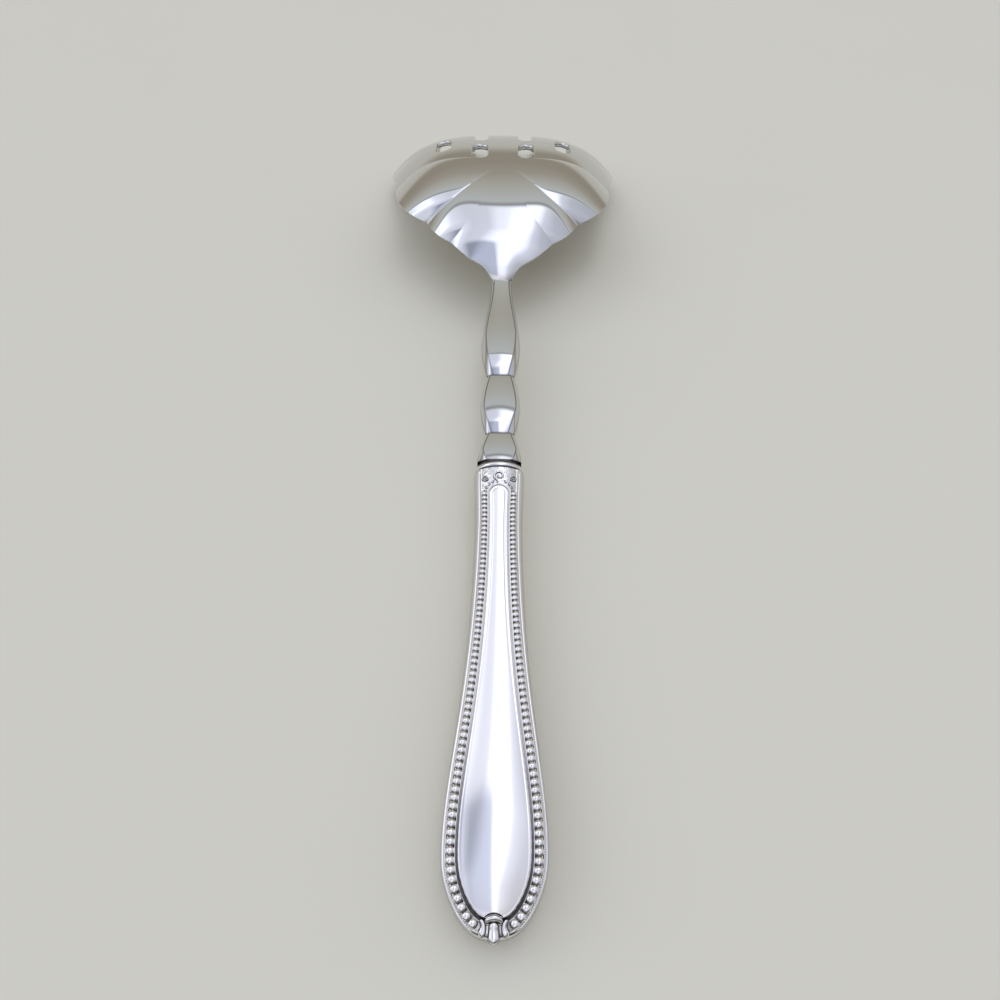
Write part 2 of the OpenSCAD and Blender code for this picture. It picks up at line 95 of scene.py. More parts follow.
# The ring's middle says where the CAD laid the fork
ring_low, ring_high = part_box("handle_collar")
ring_mid = (ring_low + ring_high) / 2 / MM
ring_y = HANDLE_LEN + COLLAR_LEN / 2
SHIFT_Y = ring_mid.y - ring_y * math.cos(REST_TILT)
LIFT = ring_mid.z - ring_y * math.sin(REST_TILT)
TABLE_DROP = LIFT / math.cos(REST_TILT)


def mix(a, b, t):
    return a + (b - a) * t


def smooth(t):
    t = np.clip(t, 0, 1)
    return t * t * (3 - 2 * t)


def fade(v, start, run):
    """0 up to start, and from there smoothly to 1 over run."""
    return smooth((v - start) / run)


def unit(v):
    return v / np.maximum(np.linalg.norm(v, axis=-1, keepdims=True), 1e-12)


def bez(p, t):
    p, t = np.asarray(p, float), np.asarray(t, float)[..., None]
    return ((1 - t) ** 3 * p[0] + 3 * t * (1 - t) ** 2 * p[1]
            + 3 * t * t * (1 - t) * p[2] + t ** 3 * p[3])


def bez_dir(p, t):
    p, t = np.asarray(p, float), np.asarray(t, float)[..., None]
    return ((1 - t) ** 2 * (p[1] - p[0]) + 2 * t * (1 - t) * (p[2] - p[1])
            + t * t * (p[3] - p[2]))


def coords(*columns):
    """Points from their coordinates, each an array or a number."""
    return np.stack(np.broadcast_arrays(*columns), -1)


def turn(v):
    """Turns vectors of the fork's frame to the way it lies on the table."""
    c, s = math.cos(REST_TILT), math.sin(REST_TILT)
    return coords(v[..., 0], v[..., 1] * c - v[..., 2] * s, v[..., 1] * s + v[..., 2] * c)


class Parts:
    """Collects grids of points, normals, and patina with painted shade in the fork's frame into one mesh."""

    def __init__(self):
        self.points, self.faces, self.normals, self.patina_and_shade = [], [], [], []

    def add(self, points, faces, normals, patina_and_shade=None):
        """Adds faces, each turned to the side that its normals point to."""
        first = sum(map(len, self.points))
        self.points.append(points)
        self.normals.append(normals)
        self.patina_and_shade.append(np.zeros(len(points)) if patina_and_shade is None else np.ravel(patina_and_shade))
        for corners in sorted({len(face) for face in faces}):
            group = np.array([face for face in faces if len(face) == corners])
            a, b, c = points[group[:, 0]], points[group[:, 1]], points[group[:, -1]]
            out = (np.cross(b - a, c - a) * normals[group].sum(1)).sum(1)
            group = np.where((out >= 0)[:, None], group, group[:, ::-1])
            self.faces += (group + first).tolist()

    def add_grid(self, grid, normals, patina_and_shade=None, wrap=False, flip=False):
        faces = grid_faces(*grid.shape[:2], wrap, flip)
        self.add(grid.reshape(-1, 3), faces, normals.reshape(-1, 3), patina_and_shade)

    def piece(self, name, material, slot, node=None):
        """Makes a piece of all that was added; it rides on the fork and may stand for a CAD node."""
        mesh = bpy.data.meshes.new(name)
        points = (turn(np.concatenate(self.points)) + [0, SHIFT_Y, LIFT]) * MM
        mesh.from_pydata(points.tolist(), [], self.faces)
        mesh.polygons.foreach_set("use_smooth", [True] * len(mesh.polygons))
        mesh.normals_split_custom_set_from_vertices(turn(unit(np.concatenate(self.normals))).tolist())
        layer = mesh.color_attributes.new("patina_and_shade", "FLOAT_COLOR", "POINT")
        shade = np.concatenate(self.patina_and_shade)
        layer.data.foreach_set("color", coords(shade, shade, shade, 1).ravel().astype(np.float32))
        mesh.materials.append(material)
        mesh.update()
        piece = bpy.data.objects.new(name, mesh)
        bpy.context.scene.collection.objects.link(piece)
        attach(piece, "root")
        if node:
            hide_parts(node)


def grid_faces(rows, cols, wrap=False, flip=False):
    r, c = np.meshgrid(np.arange(rows - 1), np.arange(cols if wrap else cols - 1), indexing="ij")
    a = r * cols + c
    b = r * cols + (c + 1) % cols
    quads = coords(a, b, b + cols, a + cols).reshape(-1, 4)
    return (quads[:, ::-1] if flip else quads).tolist()


def grid_normals(p, wrap=False):
    """Normals of a grid of points, from its two directions."""
    along = np.roll(p, -1, 1) - np.roll(p, 1, 1) if wrap else np.gradient(p, axis=1)
    return unit(np.cross(along, np.gradient(p, axis=0)))


def run_along(line):
    """Length along a line at each of its points."""
    return np.concatenate([[0], np.cumsum(np.linalg.norm(np.diff(line, axis=0), axis=1))])


# Materials
def feed(tree, node, inputs):
    """Gives inputs, by name or number, a fixed value or a link from another node."""
    for key, value in inputs.items():
        if isinstance(value, bpy.types.NodeSocket):
            tree.links.new(value, node.inputs[key])
        else:
            node.inputs[key].default_value = value


def add(tree, kind, inputs, **settings):
    """Outputs of a new node."""
    node = tree.nodes.new(kind)
    for key, value in settings.items():
        setattr(node, key, value)
    feed(tree, node, inputs)
    return node.outputs


def calc(tree, operation, *values):
    return add(tree, "ShaderNodeMath", dict(enumerate(values)), operation=operation)[0]


def remap(tree, value, low, high, start=0.0, end=1.0):
    """Brings a value that runs from start to end to the range from low to high."""
    inputs = {"Value": value, "From Min": start, "From Max": end, "To Min": low, "To Max": high}
    return add(tree, "ShaderNodeMapRange", inputs)["Result"]


def blend(tree, share, a, b, blend_type="MIX"):
    """Mix of two colours."""
    inputs = {0: share, 6: a, 7: b}
    return add(tree, "ShaderNodeMix", inputs, data_type="RGBA", blend_type=blend_type)[2]


def ramp_node(tree, value, stops):
    """Colour ramp from places and colours, where a number stands for a grey."""
    ramp = tree.nodes.new("ShaderNodeValToRGB")
    elements = ramp.color_ramp.elements
    while len(elements) < len(stops):
        elements.new(0.5)
    for element, (place, colour) in zip(elements, stops):
        element.position = place
        element.color = (*(colour if isinstance(colour, tuple) else (colour,) * 3), 1)
    feed(tree, ramp, {"Fac": value})
    return ramp.outputs["Color"]


def noise(tree, scale, detail, stretch=(1, 1, 1)):
    place = add(tree, "ShaderNodeTexCoord", {})["Object"]
    place = add(tree, "ShaderNodeMapping", {"Vector": place, "Scale": stretch})["Vector"]
    return add(tree, "ShaderNodeTexNoise", {"Vector": place, "Scale": scale, "Detail": detail})["Fac"]


def node_tree(name):
    material = bpy.data.materials.new(name)
    material.use_nodes = True
    tree = material.node_tree
    return material, tree, tree.nodes["Principled BSDF"]


# Unevenness of the tarnish, spread of the polish's roughness, and depth of the polishing marks in metres
CLOUD, SMEAR, MARKS = 0.12, (0.8, 1.25), 0.0004


def metal(name, bright, dark, rough_bright, rough_dark, wave):
    """Polished metal, dark where the patina and painted shade of the mesh is high, and faint polishing marks.
    """
    material, tree, shader = node_tree(name)
    layer = add(tree, "ShaderNodeVertexColor", {}, layer_name="patina_and_shade")["Color"]
    patina_and_shade = add(tree, "ShaderNodeSeparateColor", {"Color": layer})["Red"]
    cloud = remap(tree, noise(tree, 900, 3), -CLOUD, CLOUD)
    shade = calc(tree, "MULTIPLY_ADD", cloud, patina_and_shade, patina_and_shade)
    colour = blend(tree, shade, (*bright, 1), (*dark, 1))
    smear = remap(tree, noise(tree, 60, 5), *[share * rough_bright for share in SMEAR])
    rough = add(tree, "ShaderNodeMix", {0: shade, 2: smear, 3: rough_dark}, data_type="FLOAT")[0]
    lines = noise(tree, 90, 2, (1, 0.35, 1))
    bumps = add(tree, "ShaderNodeBump", {"Height": lines, "Strength": wave, "Distance": MARKS})["Normal"]
    feed(tree, shader, {"Metallic": 1.0, "Base Color": colour, "Roughness": rough, "Normal": bumps})
    return material


def mottled(name, roughness, specular, scale, colours):
    """Matte material of two close colours in soft clouds."""
    material, tree, shader = node_tree(name)
    colour = ramp_node(tree, noise(tree, scale, 4), list(zip((0.0, 1.0), colours)))
    feed(tree, shader, {"Base Color": colour, "Roughness": roughness, "Specular IOR Level": specular})
    return material


# The steel's dark colour shows only as painted shade on the neck; the silver's as tarnish in hollows and as
# painted shade
STEEL = metal("polished_steel", (0.66, 0.66, 0.655), (0.06, 0.055, 0.05), 0.045, 0.4, 0.04)
SILVER = metal("polished_silver", (0.90, 0.88, 0.85), (0.030, 0.027, 0.026), 0.11, 0.5, 0.04)
FILLER = mottled("hard_filler", 0.85, 0.5, 700, ((0.045, 0.04, 0.036), (0.075, 0.068, 0.06)))
TABLE_TOP = mottled("pale_table", 0.6, 0.2, 12, ((0.8, 0.77, 0.63), (0.83, 0.8, 0.66)))


# Bowl: a spine in the middle of its back, and veins that run from the spine out to the lobed rim
def table_z(y):
    return -(TABLE_DROP + y * math.tan(REST_TILT))


def polar(reach, angle):
    return np.array([reach * math.cos(math.radians(angle)), reach * math.sin(math.radians(angle))])


root_point = np.array([ROOT_Y, ROOT_TOP])
tip_point = np.array([FRONT_Y, table_z(FRONT_Y) + TIP_T])
SPINE = [root_point, root_point + polar(ROOT_REACH, ROOT_ANGLE),
         tip_point + polar(TIP_REACH, TIP_ANGLE) * [-1, 1], tip_point]
# Shares of LOBE_OUT and FLUTE_H that the lobe over the outer tine has, and the power of its fade inwards
TINE_LOBE = (0.165, 0.33, 4)
SHOULDER_X = HEAD_W / 2 - TINE_LOBE[0] * LOBE_OUT
SIDE_PULL, FRONT_PULL, TIP_HALF = ((0.177, 0.13), (0.745, 0.181)), ((1.01, 0.45), (0.6, 1.0)), 0.8
shoulder = [SHOULDER_X, ROOT_Y + SHOULDER_Y]
SIDE = [[ROOT_W / 2, ROOT_Y], *[[x * SHOULDER_X, ROOT_Y + y * SHOULDER_Y] for x, y in SIDE_PULL], shoulder]
FRONT = [shoulder, *[[x * SHOULDER_X, mix(shoulder[1], FRONT_Y, y)] for x, y in FRONT_PULL],
         [TIP_HALF, FRONT_Y]]
# Lobes along the side: start, end, share of LOBE_OUT, share of FLUTE_H, power of the fade inwards
LOBES = [(0.12, 0.42, 0.23, 0.23, 5), (0.42, 0.6, 0.28, 0.37, 8), (0.6, 0.88, 1.0, 1.0, 2)]
LOBE_ROUND, FLUTE_ROUND, TINE_LOBE_START, TINE_LOBE_FADE = 0.8, 0.5, 0.88, 0.5
FAN_AT, FAN_POWER, FAN_SPREAD, VEIN_ROUND, VEIN_BOW = 0.58, 4, 0.25, 0.25, 0.6
ROOT_DROP, DROP_POWER, DOME_POWER = 0.4, 2, 3.7
RIM_THIN, RIM_THIN_POWER, FRONT_THIN_FADE = 0.55, 4, 0.5
RIM_BULGE, LOBE_FADE = 0.2, 3
spine_t = np.linspace(0, 1, 4000)
spine_y = bez(SPINE, spine_t)[:, 0]


def spine_z(y):
    return bez(SPINE, np.interp(y, spine_y, spine_t))[..., 1]


def over_table(y):
    return spine_z(y) - table_z(y)


def lobe_share(u, power, column, a=1.0):
    """Share of LOBE_OUT, column 0, or of FLUTE_H, column 1, that the lobes have on vein u at a of its way."""
    sides = []
    for start, end, *sizes, inwards in LOBES:
        place = np.clip((u - start) / (end - start), 0, 1)
        wave = np.maximum(np.sin(np.pi * place), 0) ** power
        wave = wave if sides else np.where(place < 0.5, smooth(2 * place), wave)
        sides.append(sizes[column] * wave * a ** inwards)
    run = np.clip((u - TINE_LOBE_START) / (1 - TINE_LOBE_START), 0, 1)
    last = np.sin(np.pi / 2 * run) * (1 - fade(u, 1, TINE_LOBE_FADE))
    last = TINE_LOBE[column] * last * a ** TINE_LOBE[2]
    return np.where(u > TINE_LOBE_START, last, np.maximum.reduce(sides))


def plain_rim(u):
    """Rim in plan without its lobes, and how its lobes go out; u is 0 to 1 on the side, then to 2."""
    on_side = (u <= 1)[..., None]
    t_side, t_front = np.clip(u, 0, 1), np.clip(u - 1, 0, 1)
    point = np.where(on_side, bez(SIDE, t_side), bez(FRONT, t_front))
    d = np.where(on_side, bez_dir(SIDE, t_side), bez_dir(FRONT, t_front))
    out = unit(coords(d[..., 1], -d[..., 0]))
    return point, out * (LOBE_OUT * lobe_share(u, LOBE_ROUND, 0))[..., None]


def spine_share(u):
    side, front = np.clip(u, 0, 1), np.clip(u - 1, 0, 1)
    on_side = FAN_AT * mix(1 - (1 - side) ** FAN_POWER, side, FAN_SPREAD)
    on_front = mix(FAN_AT, 1, mix(1 - np.cos(np.pi / 2 * front), front, FAN_SPREAD))
    return np.where(u <= 1, on_side, on_front)


def rim_drop(y, u):
    shoulder_drop = over_table(np.array(shoulder[1])) - SHOULDER_H
    on_side = mix(ROOT_DROP, shoulder_drop, np.clip(u, 0, 1) ** DROP_POWER)
    return np.where(u <= 1, on_side, over_table(y) - mix(SHOULDER_H, TIP_T, smooth(u - 1)))


def vein_run(a):
    run = (np.hypot(a, VEIN_ROUND) - VEIN_ROUND) / (math.hypot(1, VEIN_ROUND) - VEIN_ROUND)
    return run * (1 + VEIN_BOW - VEIN_BOW * run)


def back(u, s):
    """Point of the back of the bowl on vein u, from the spine at s = 0 to the rim at s = 1 or -1."""
    point, lobe = plain_rim(u)
    a = np.abs(s)
    lobe = lobe * (a ** LOBE_FADE)[..., None]
    y = mix(bez(SPINE, spine_share(u))[..., 0], point[..., 1], vein_run(a)) + lobe[..., 1]
    drop = rim_drop(point[..., 1], u)
    z = spine_z(y) - drop * a ** DOME_POWER + FLUTE_H * lobe_share(u, FLUTE_ROUND, 1, a)
    return coords(point[..., 0] * s + lobe[..., 0] * np.sign(s), y, z)


def back_normal(u, s, eu, es):
    u0, u1 = np.clip(u - eu, 0, 2), np.clip(u + eu, 0, 2)
    s0, s1 = np.clip(s - es, -1, 1), np.clip(s + es, -1, 1)
    n = unit(np.cross(back(u, s1) - back(u, s0), back(u1, s) - back(u0, s)))
    return n * np.sign(n[..., 2:3] + 1e-9)


# The metal thins out of the root over this length, and towards the tips from this share of the bowl
ROOT_FADE, THIN_SHARE = 20, 0.55


def metal_t(y):
    d = y - ROOT_Y
    thin_from = THIN_SHARE * HEAD_LEN
    return (BOWL_T + (ROOT_T - BOWL_T) * np.clip(1 - d / ROOT_FADE, 0, 1) ** 2
            - (BOWL_T - TIP_T) * fade(d, thin_from, HEAD_LEN - thin_from))


def edge_share(u, s):
    """Share of the metal's thickness that is left towards the rim."""
    at_rim = mix(RIM_THIN, 1, fade(u, 1, FRONT_THIN_FADE))
    return mix(1, at_rim, np.abs(s) ** RIM_THIN_POWER)


def arc(centre, radius, start, end, steps):
    a = np.radians(np.linspace(start, end, steps))
    return coords(centre[0] + radius * np.cos(a), centre[1] + radius * np.sin(a))


def resample(line, step):
    """Closed line with points about step apart, its corners kept."""
    out = []
    for a, b in zip(line, np.roll(line, -1, 0)):
        n = max(1, int(round(np.linalg.norm(b - a) / step)))
        out += [mix(a, b, i / n) for i in range(n)]
    return np.array(out)


# Near ends of the slots, and their mouths as shares of the front
INNER_Y, OUTER_Y = ROOT_Y + 0.663 * HEAD_LEN, ROOT_Y + 0.79 * HEAD_LEN
INNER_MOUTH, OUTER_MOUTH = 0.9, 0.655
# How far a slot's outline runs out past the rim, and the spacing of points on a cut
SLOT_PAST, CUT_STEP = 8.0, 0.45


def slot_outline(x, y, mouth):
    end = bez(FRONT, np.array(mouth))
    run = float(np.linalg.norm(end - [x, y]))
    angle = -math.atan2(end[0] - x, end[1] - y)
    half, outer = SLOT_W / 2, SLOT_MOUTH_W / 2 + TINE_ROUND
    right = np.concatenate([arc([outer, run - TINE_ROUND], TINE_ROUND, 180, 90, 7),
                            [[outer + SLOT_PAST, run + SLOT_PAST]]])
    line = np.concatenate([arc([0, half], half, 180, 360, 15), right, (right * [-1, 1])[::-1]])
    c, s = math.cos(angle), math.sin(angle)
    return resample(line @ np.array([[c, s], [-s, c]]) + [x, y], CUT_STEP)


def piercing_outline(x, y, bridge):
    r = PIERCE_W / 2
    near, far = y - bridge - PIERCE_LEN + r, y - bridge - r
    line = np.concatenate([arc([x, near], r, 180, 360, 17), arc([x, far], r, 0, 180, 17)])
    return resample(line, CUT_STEP)


# Slots and piercings of the right half, in plan
CUTS = [slot_outline(INNER_X, INNER_Y, INNER_MOUTH), slot_outline(OUTER_X, OUTER_Y, OUTER_MOUTH),
        piercing_outline(INNER_X, INNER_Y, INNER_BRIDGE), piercing_outline(OUTER_X, OUTER_Y, OUTER_BRIDGE)]


def inside(points, line):
    """Which plan points lie inside a closed line."""
    result = np.zeros(len(points), bool)
    x, y = points[:, 0], points[:, 1]
    for (ax, ay), (bx, by) in zip(line, np.roll(line, -1, 0)):
        if ay == by:
            continue
        crosses = (ay > y) != (by > y)
        result ^= crosses & (x < (bx - ax) * (y - ay) / (by - ay) + ax)
    return result


def vein_places(points):
    """Vein and place on it of plan points on the right half, by Newton steps from a coarse search."""
    u, s = [g.ravel() for g in np.meshgrid(np.linspace(0.02, 2, 240), np.linspace(0, 1, 80), indexing="ij")]
    plan = back(u, s)[:, :2]
    nearest = [np.argmin(((plan - p) ** 2).sum(1)) for p in points]
    us = coords(u[nearest], s[nearest])
    nudge, most, least = 1e-4, 0.05, 1e-6
    for _ in range(15):
        u, s = np.clip(us[:, 0], nudge, 2 - nudge), np.clip(us[:, 1], 0, 1.02)
        plan = back(u, s)[:, :2]
        du = (back(u + nudge, s)[:, :2] - back(u - nudge, s)[:, :2]) / (2 * nudge)
        ds = (back(u, s + nudge)[:, :2] - plan) / nudge
        miss = points - plan
        det = du[:, 0] * ds[:, 1] - du[:, 1] * ds[:, 0]
        det = np.where(np.abs(det) < least, least, det)
        step_u = (miss[:, 0] * ds[:, 1] - miss[:, 1] * ds[:, 0]) / det
        step_s = (du[:, 0] * miss[:, 1] - du[:, 1] * miss[:, 0]) / det
        us = coords(u + np.clip(step_u, -most, most), s + np.clip(step_s, -most, most))
    return coords(np.clip(us[:, 0], 0, 2), np.clip(us[:, 1], 0, 1))


def cuts_on_veins():
    """Outlines of the slots and piercings in vein coordinates; a slot runs out past the rim."""
    past_rim, near_rim = 1.06, 0.12
    point, lobe = plain_rim(np.linspace(0, 2, 600))
    outline = np.concatenate([[[0, ROOT_Y]], point + lobe, [[0, FRONT_Y]]])
    right = []
    for line in CUTS:
        fine = resample(line, near_rim)
        within = inside(fine, outline)
        if within.all():
            right.append(vein_places(line))
            continue
        first = np.flatnonzero(~within[:-1] & within[1:])[0] + 1
        fine, within = np.roll(fine, -first, 0), np.roll(within, -first, 0)
        last = np.flatnonzero(within)[-1]
        middle = fine[4:last - 3:4]
        places = vein_places(np.concatenate([fine[:1], middle, fine[last:last + 1]]))
        ends = [[places[-1, 0], past_rim], [places[0, 0], past_rim]]
        right.append(np.concatenate([places, ends]))
    return right + [(line * [1, -1])[::-1] for line in right]


# Steps for normals along and across the veins: close ones for the back, wide ones for the inside
FINE_STEP, WIDE_STEP = (0.003, 0.008), (0.03, 0.03)
# Grid points this near to a cut's edge make way for it
CUT_CLEAR = 0.25
# Steps round the edge of the metal, and how much its shading leans to the two faces
RIM_STEPS, RIM_LEAN = 6, 0.6


def bowl_plan():
    """Places on the veins and the triangles between them, with the slots and piercings cut out."""
    u_line = np.concatenate([np.linspace(0, 1, 226), np.linspace(1, 2, 71)[1:]])
    s_line = np.linspace(-1, 1, 101)
    rows, cols = len(u_line), len(s_line)
    u, s = [g.ravel() for g in np.meshgrid(u_line, s_line, indexing="ij")]
    grid = coords(u, s)
    index = np.arange(rows * cols).reshape(rows, cols)
    loop = np.concatenate([index[:, -1], index[-1, -2::-1], index[-2::-1, 0], index[0, 1:-1]])
    plan = back(u, s)[:, :2]
    cuts = cuts_on_veins()
    keep = np.ones(len(grid), bool)
    for line in cuts:
        keep &= ~inside(grid, line)
        for p in back(line[:, 0], line[:, 1])[:, :2]:
            keep &= ((plan - p) ** 2).sum(1) > CUT_CLEAR ** 2
    keep[loop] = True
    points, loop = [grid[keep]], (np.cumsum(keep) - 1)[loop]
    edges = list(zip(loop, np.roll(loop, -1)))
    count = len(points[0])
    for line in cuts:
        edges += [(count + i, count + (i + 1) % len(line)) for i in range(len(line))]
        points.append(line)
        count += len(line)
    verts, _, tris, _, _, _ = delaunay_2d_cdt(
        [Vector(p) for p in np.concatenate(points)], [tuple(map(int, e)) for e in edges], [], 0, 1e-7)
    us = np.array([(v.x, v.y) for v in verts])
    tris = np.array(tris)
    centre = us[tris].mean(1)
    stay = np.abs(centre[:, 1]) < 1
    for line in cuts:
        stay &= ~inside(centre, line)
    used, tris = np.unique(tris[stay], return_inverse=True)
    us, tris = us[used], tris.reshape(-1, 3)
    a, b, c = us[tris[:, 0]], us[tris[:, 1]], us[tris[:, 2]]
    area = (b[:, 0] - a[:, 0]) * (c[:, 1] - a[:, 1]) - (b[:, 1] - a[:, 1]) * (c[:, 0] - a[:, 0])
    return us, np.where((area < 0)[:, None], tris, tris[:, ::-1])


def bowl(parts):
    """Back and inside of the bowl, joined by a round edge along the rim and the cuts."""
    us, tris = bowl_plan()
    u, s = us[:, 0], us[:, 1]
    top = back(u, s)
    normal, body = back_normal(u, s, *FINE_STEP), back_normal(u, s, *WIDE_STEP)
    low = top - (metal_t(top[:, 1]) * edge_share(u, s))[:, None] * body
    low[:, 2] = np.maximum(low[:, 2], table_z(low[:, 1]))
    n = len(top)
    faces = tris.tolist() + (tris[:, ::-1] + n).tolist()
    sides = {(int(t[i]), int(t[(i + 1) % 3])) for t in tris for i in range(3)}
    border = [(p, q) for p, q in sides if (q, p) not in sides]
    after, before = dict(border), {q: p for p, q in border}
    rim_ids = np.array(sorted(after))
    where = {int(v): i for i, v in enumerate(rim_ids)}
    tangent = unit(top[[after[i] for i in rim_ids]] - top[[before[i] for i in rim_ids]])
    out = unit(np.cross(tangent, normal[rim_ids]))
    middle, half = (top[rim_ids] + low[rim_ids]) / 2, (top[rim_ids] - low[rim_ids]) / 2
    swell = RIM_BULGE * 2 * np.linalg.norm(half, axis=1, keepdims=True)
    all_points, all_normals = [top, low], [normal, -body]
    for k in range(1, RIM_STEPS):
        angle = math.pi * k / RIM_STEPS
        ring = middle + half * math.cos(angle) + out * swell * math.sin(angle)
        ring[:, 2] = np.maximum(ring[:, 2], table_z(ring[:, 1]))
        all_points.append(ring)
        all_normals.append(unit(unit(half) * math.cos(angle) * RIM_LEAN + out * math.sin(angle)))

    def at(v, k):
        if k == 0:
            return v
        return n + v if k == RIM_STEPS else 2 * n + (k - 1) * len(rim_ids) + where[v]

    for p, q in border:
        faces += [[at(q, k), at(p, k), at(p, k + 1), at(q, k + 1)] for k in range(RIM_STEPS)]
    parts.add(np.concatenate(all_points), faces, np.concatenate(all_normals))


# Neck: a cut baluster of three bulges with flats, pinched between them
# Half width of the top flat and half height of the side flat, as shares, along a bulge from its near end
FLATS_AT = [0, 0.15, 0.4, 1]
FLATS = [[0.58, 0.68, 0.82, 0.76], [0.66, 0.58, 0.5, 0.62]]
# Painted shade: EDGE_SHADE along the rounded edges of the flats, CREASE_SHADE in the creases at the ends of a
# bulge
COLLAR_LOW, EDGE_ROUND, EDGE_MOST, EDGE_SHADE, CORNER_STEPS = 0.92, 0.3, 0.4, 0.6, 6
CREASE_SHADE, CREASE_RUN = 0.85, 0.45
# The flats are shaded as slightly crowned: how far they lean to the side at their edges
CROWN = 0.16
# Where along a bulge its width and its height peak
KNOP_PEAK, SHANK_PEAK, BOLSTER_SLOPE = (0.46, 0.3), (0.28, 0.18), 0.45


def octagon(w, h, flats):
    """Section of the neck with rounded edges, from the right side over the top; points and directions."""
    fx, fz = flats
    half = np.array([[w, -fz * h], [w, fz * h], [fx * w, h], [-fx * w, h]])
    corners = np.concatenate([half, -half])
    points, dirs = [], []
    for i in range(8):
        here = corners[i]
        sides = here - corners[i - 1], corners[(i + 1) % 8] - here
        a, b = map(unit, sides)
        r0, r1 = [min(EDGE_ROUND, EDGE_MOST * np.linalg.norm(side)) for side in sides]
        for t in np.linspace(0, 1, CORNER_STEPS):
            p = (1 - t) ** 2 * (here - a * r0) + 2 * t * (1 - t) * here + t * t * (here + b * r1)
            points.append(p)
            dirs.append(unit((1 - t) * a + t * b))
    return np.array(points), np.array(dirs)


def neck_segment(parts, y, w, top, dark_end=True):
    """One bulge of the neck from its half widths and its unflattened half heights; its ends are creases,
    darkened with painted shade like its rounded edges.
    """
    at_collar = np.clip((KNOP_Y - y) / BOLSTER_LEN, 0, 1)
    along = (y - y[0]) / (y[-1] - y[0])
    flats = coords(*[np.interp(along, FLATS_AT, share) for share in FLATS])
    high = top * NECK_RATIO * mix(1, COLLAR_LOW, at_collar)
    sections = [octagon(*sizes) for sizes in zip(w, high, flats)]
    xz, dirs = map(np.array, zip(*sections))
    points = coords(xz[..., 0], y[:, None], xz[..., 1])
    across = coords(dirs[..., 0], 0, dirs[..., 1])
    normals = unit(np.cross(across, np.gradient(points, y, axis=0)) * -1)
    outward = np.sign((normals[..., 0] * points[..., 0] + normals[..., 2] * points[..., 2]).sum())
    lean = CROWN * np.tile(np.linspace(1, -1, CORNER_STEPS), 8)[:, None]
    crowned = unit(normals * outward + lean * across)
    # Painted shade darkens the creases at the bulge's ends and the rounded edges
    from_crease = np.minimum(y - y[0], y[-1] - y) if dark_end else y - y[0]
    crease = CREASE_SHADE * (1 - smooth(from_crease / CREASE_RUN))
    edge = EDGE_SHADE * np.tile(np.sin(np.pi * np.linspace(0, 1, CORNER_STEPS)), 8)
    parts.add_grid(points, crowned, np.maximum(crease[:, None], edge), wrap=True, flip=True)
    return points


def bulge(y, start, peak, end, sizes, far_fall):
    """Half size along a bulge: up to its peak like a quarter circle, and down by far_fall."""
    near = mix(sizes[0], sizes[1], np.sin(np.pi / 2 * np.clip((y - start) / (peak - start), 0, 1)))
    far = mix(sizes[1], sizes[2], far_fall(np.clip((y - peak) / (end - peak), 0, 1)))
    return np.where(y < peak, near, far) / 2


def quarter_fall(t):
    return 1 - np.cos(np.pi / 2 * t)


def half_fall(t):
    return (1 - np.cos(np.pi * t)) / 2


# Where the shank runs into the bowl: places on the spine, widths there, thickness and depth under the back
BLEND_AT, BLEND_SIZE, BLEND_RINGS = (0.02, 0.14), (0.75, 0.2), 6
BLEND_THICK, BLEND_SINK, BLEND_TURN = 0.35, 0.8, 12
NECK_STEPS = 72


def neck(parts):
    t = np.linspace(0, 1, NECK_STEPS)
    fall = quarter_fall(t)
    wide = mix(BOLSTER_W, PINCH_W, fall) / 2
    top = mix(BOLSTER_W, PINCH_W, mix(fall, t, BOLSTER_SLOPE)) / 2
    neck_segment(parts, mix(BOLSTER_Y, KNOP_Y, t), wide, top)
    knop = (KNOP_Y, SHANK_Y, (PINCH_W, KNOP_W, PINCH_W), KNOP_PEAK, quarter_fall)
    shank = (SHANK_Y, ROOT_Y, (PINCH_W, SHANK_W, ROOT_W), SHANK_PEAK, half_fall)
    for start, end, sizes, peaks, far_fall in (knop, shank):
        y = mix(start, end, t)
        wide, top = [bulge(y, start, mix(start, end, peak), end, sizes, far_fall) for peak in peaks]
        points = neck_segment(parts, y, wide, top, end < ROOT_Y)
    last = points[-1]
    rings = [last]
    for k, place in enumerate(np.linspace(*BLEND_AT, BLEND_RINGS)):
        p, d = bez(SPINE, np.array(place)), bez_dir(SPINE, np.array(place))
        angle = math.atan2(d[1], d[0]) * min(1, BLEND_TURN * place)
        h = BLEND_THICK * float(metal_t(p[0]))
        size = mix(*BLEND_SIZE, k / (BLEND_RINGS - 1))
        local = (last - [0, ROOT_Y, 0]) * [size, 0, h / ROOT_TOP]
        depth = h + BLEND_SINK - local[:, 2]
        y, z = p[0] + depth * math.sin(angle), p[1] - depth * math.cos(angle)
        rings.append(coords(local[:, 0], y, z))
    grid = np.array(rings)
    parts.add_grid(grid, -grid_normals(grid, True), wrap=True, flip=True)


forging = Parts()
bowl(forging)
neck(forging)
forging.piece("fork_head_and_neck", STEEL, "polished_steel", "fork_forging")


# Handle outline: half width over the distance from the butt
TAPER_PULL, MOUTH_PULL = (0.21, 0.42), (0.4, 0.7)


def ease(start, end, pulls, steps):
    """Stretch of the outline between two places and widths, along the handle at both ends."""
    (y0, w0), (y1, w1) = start, end
    near, far = [mix(y0, y1, pull) for pull in pulls]
    return bez([[y0, w0 / 2], [near, w0 / 2], [far, w1 / 2], [y1, w1 / 2]], np.linspace(0, 1, steps))


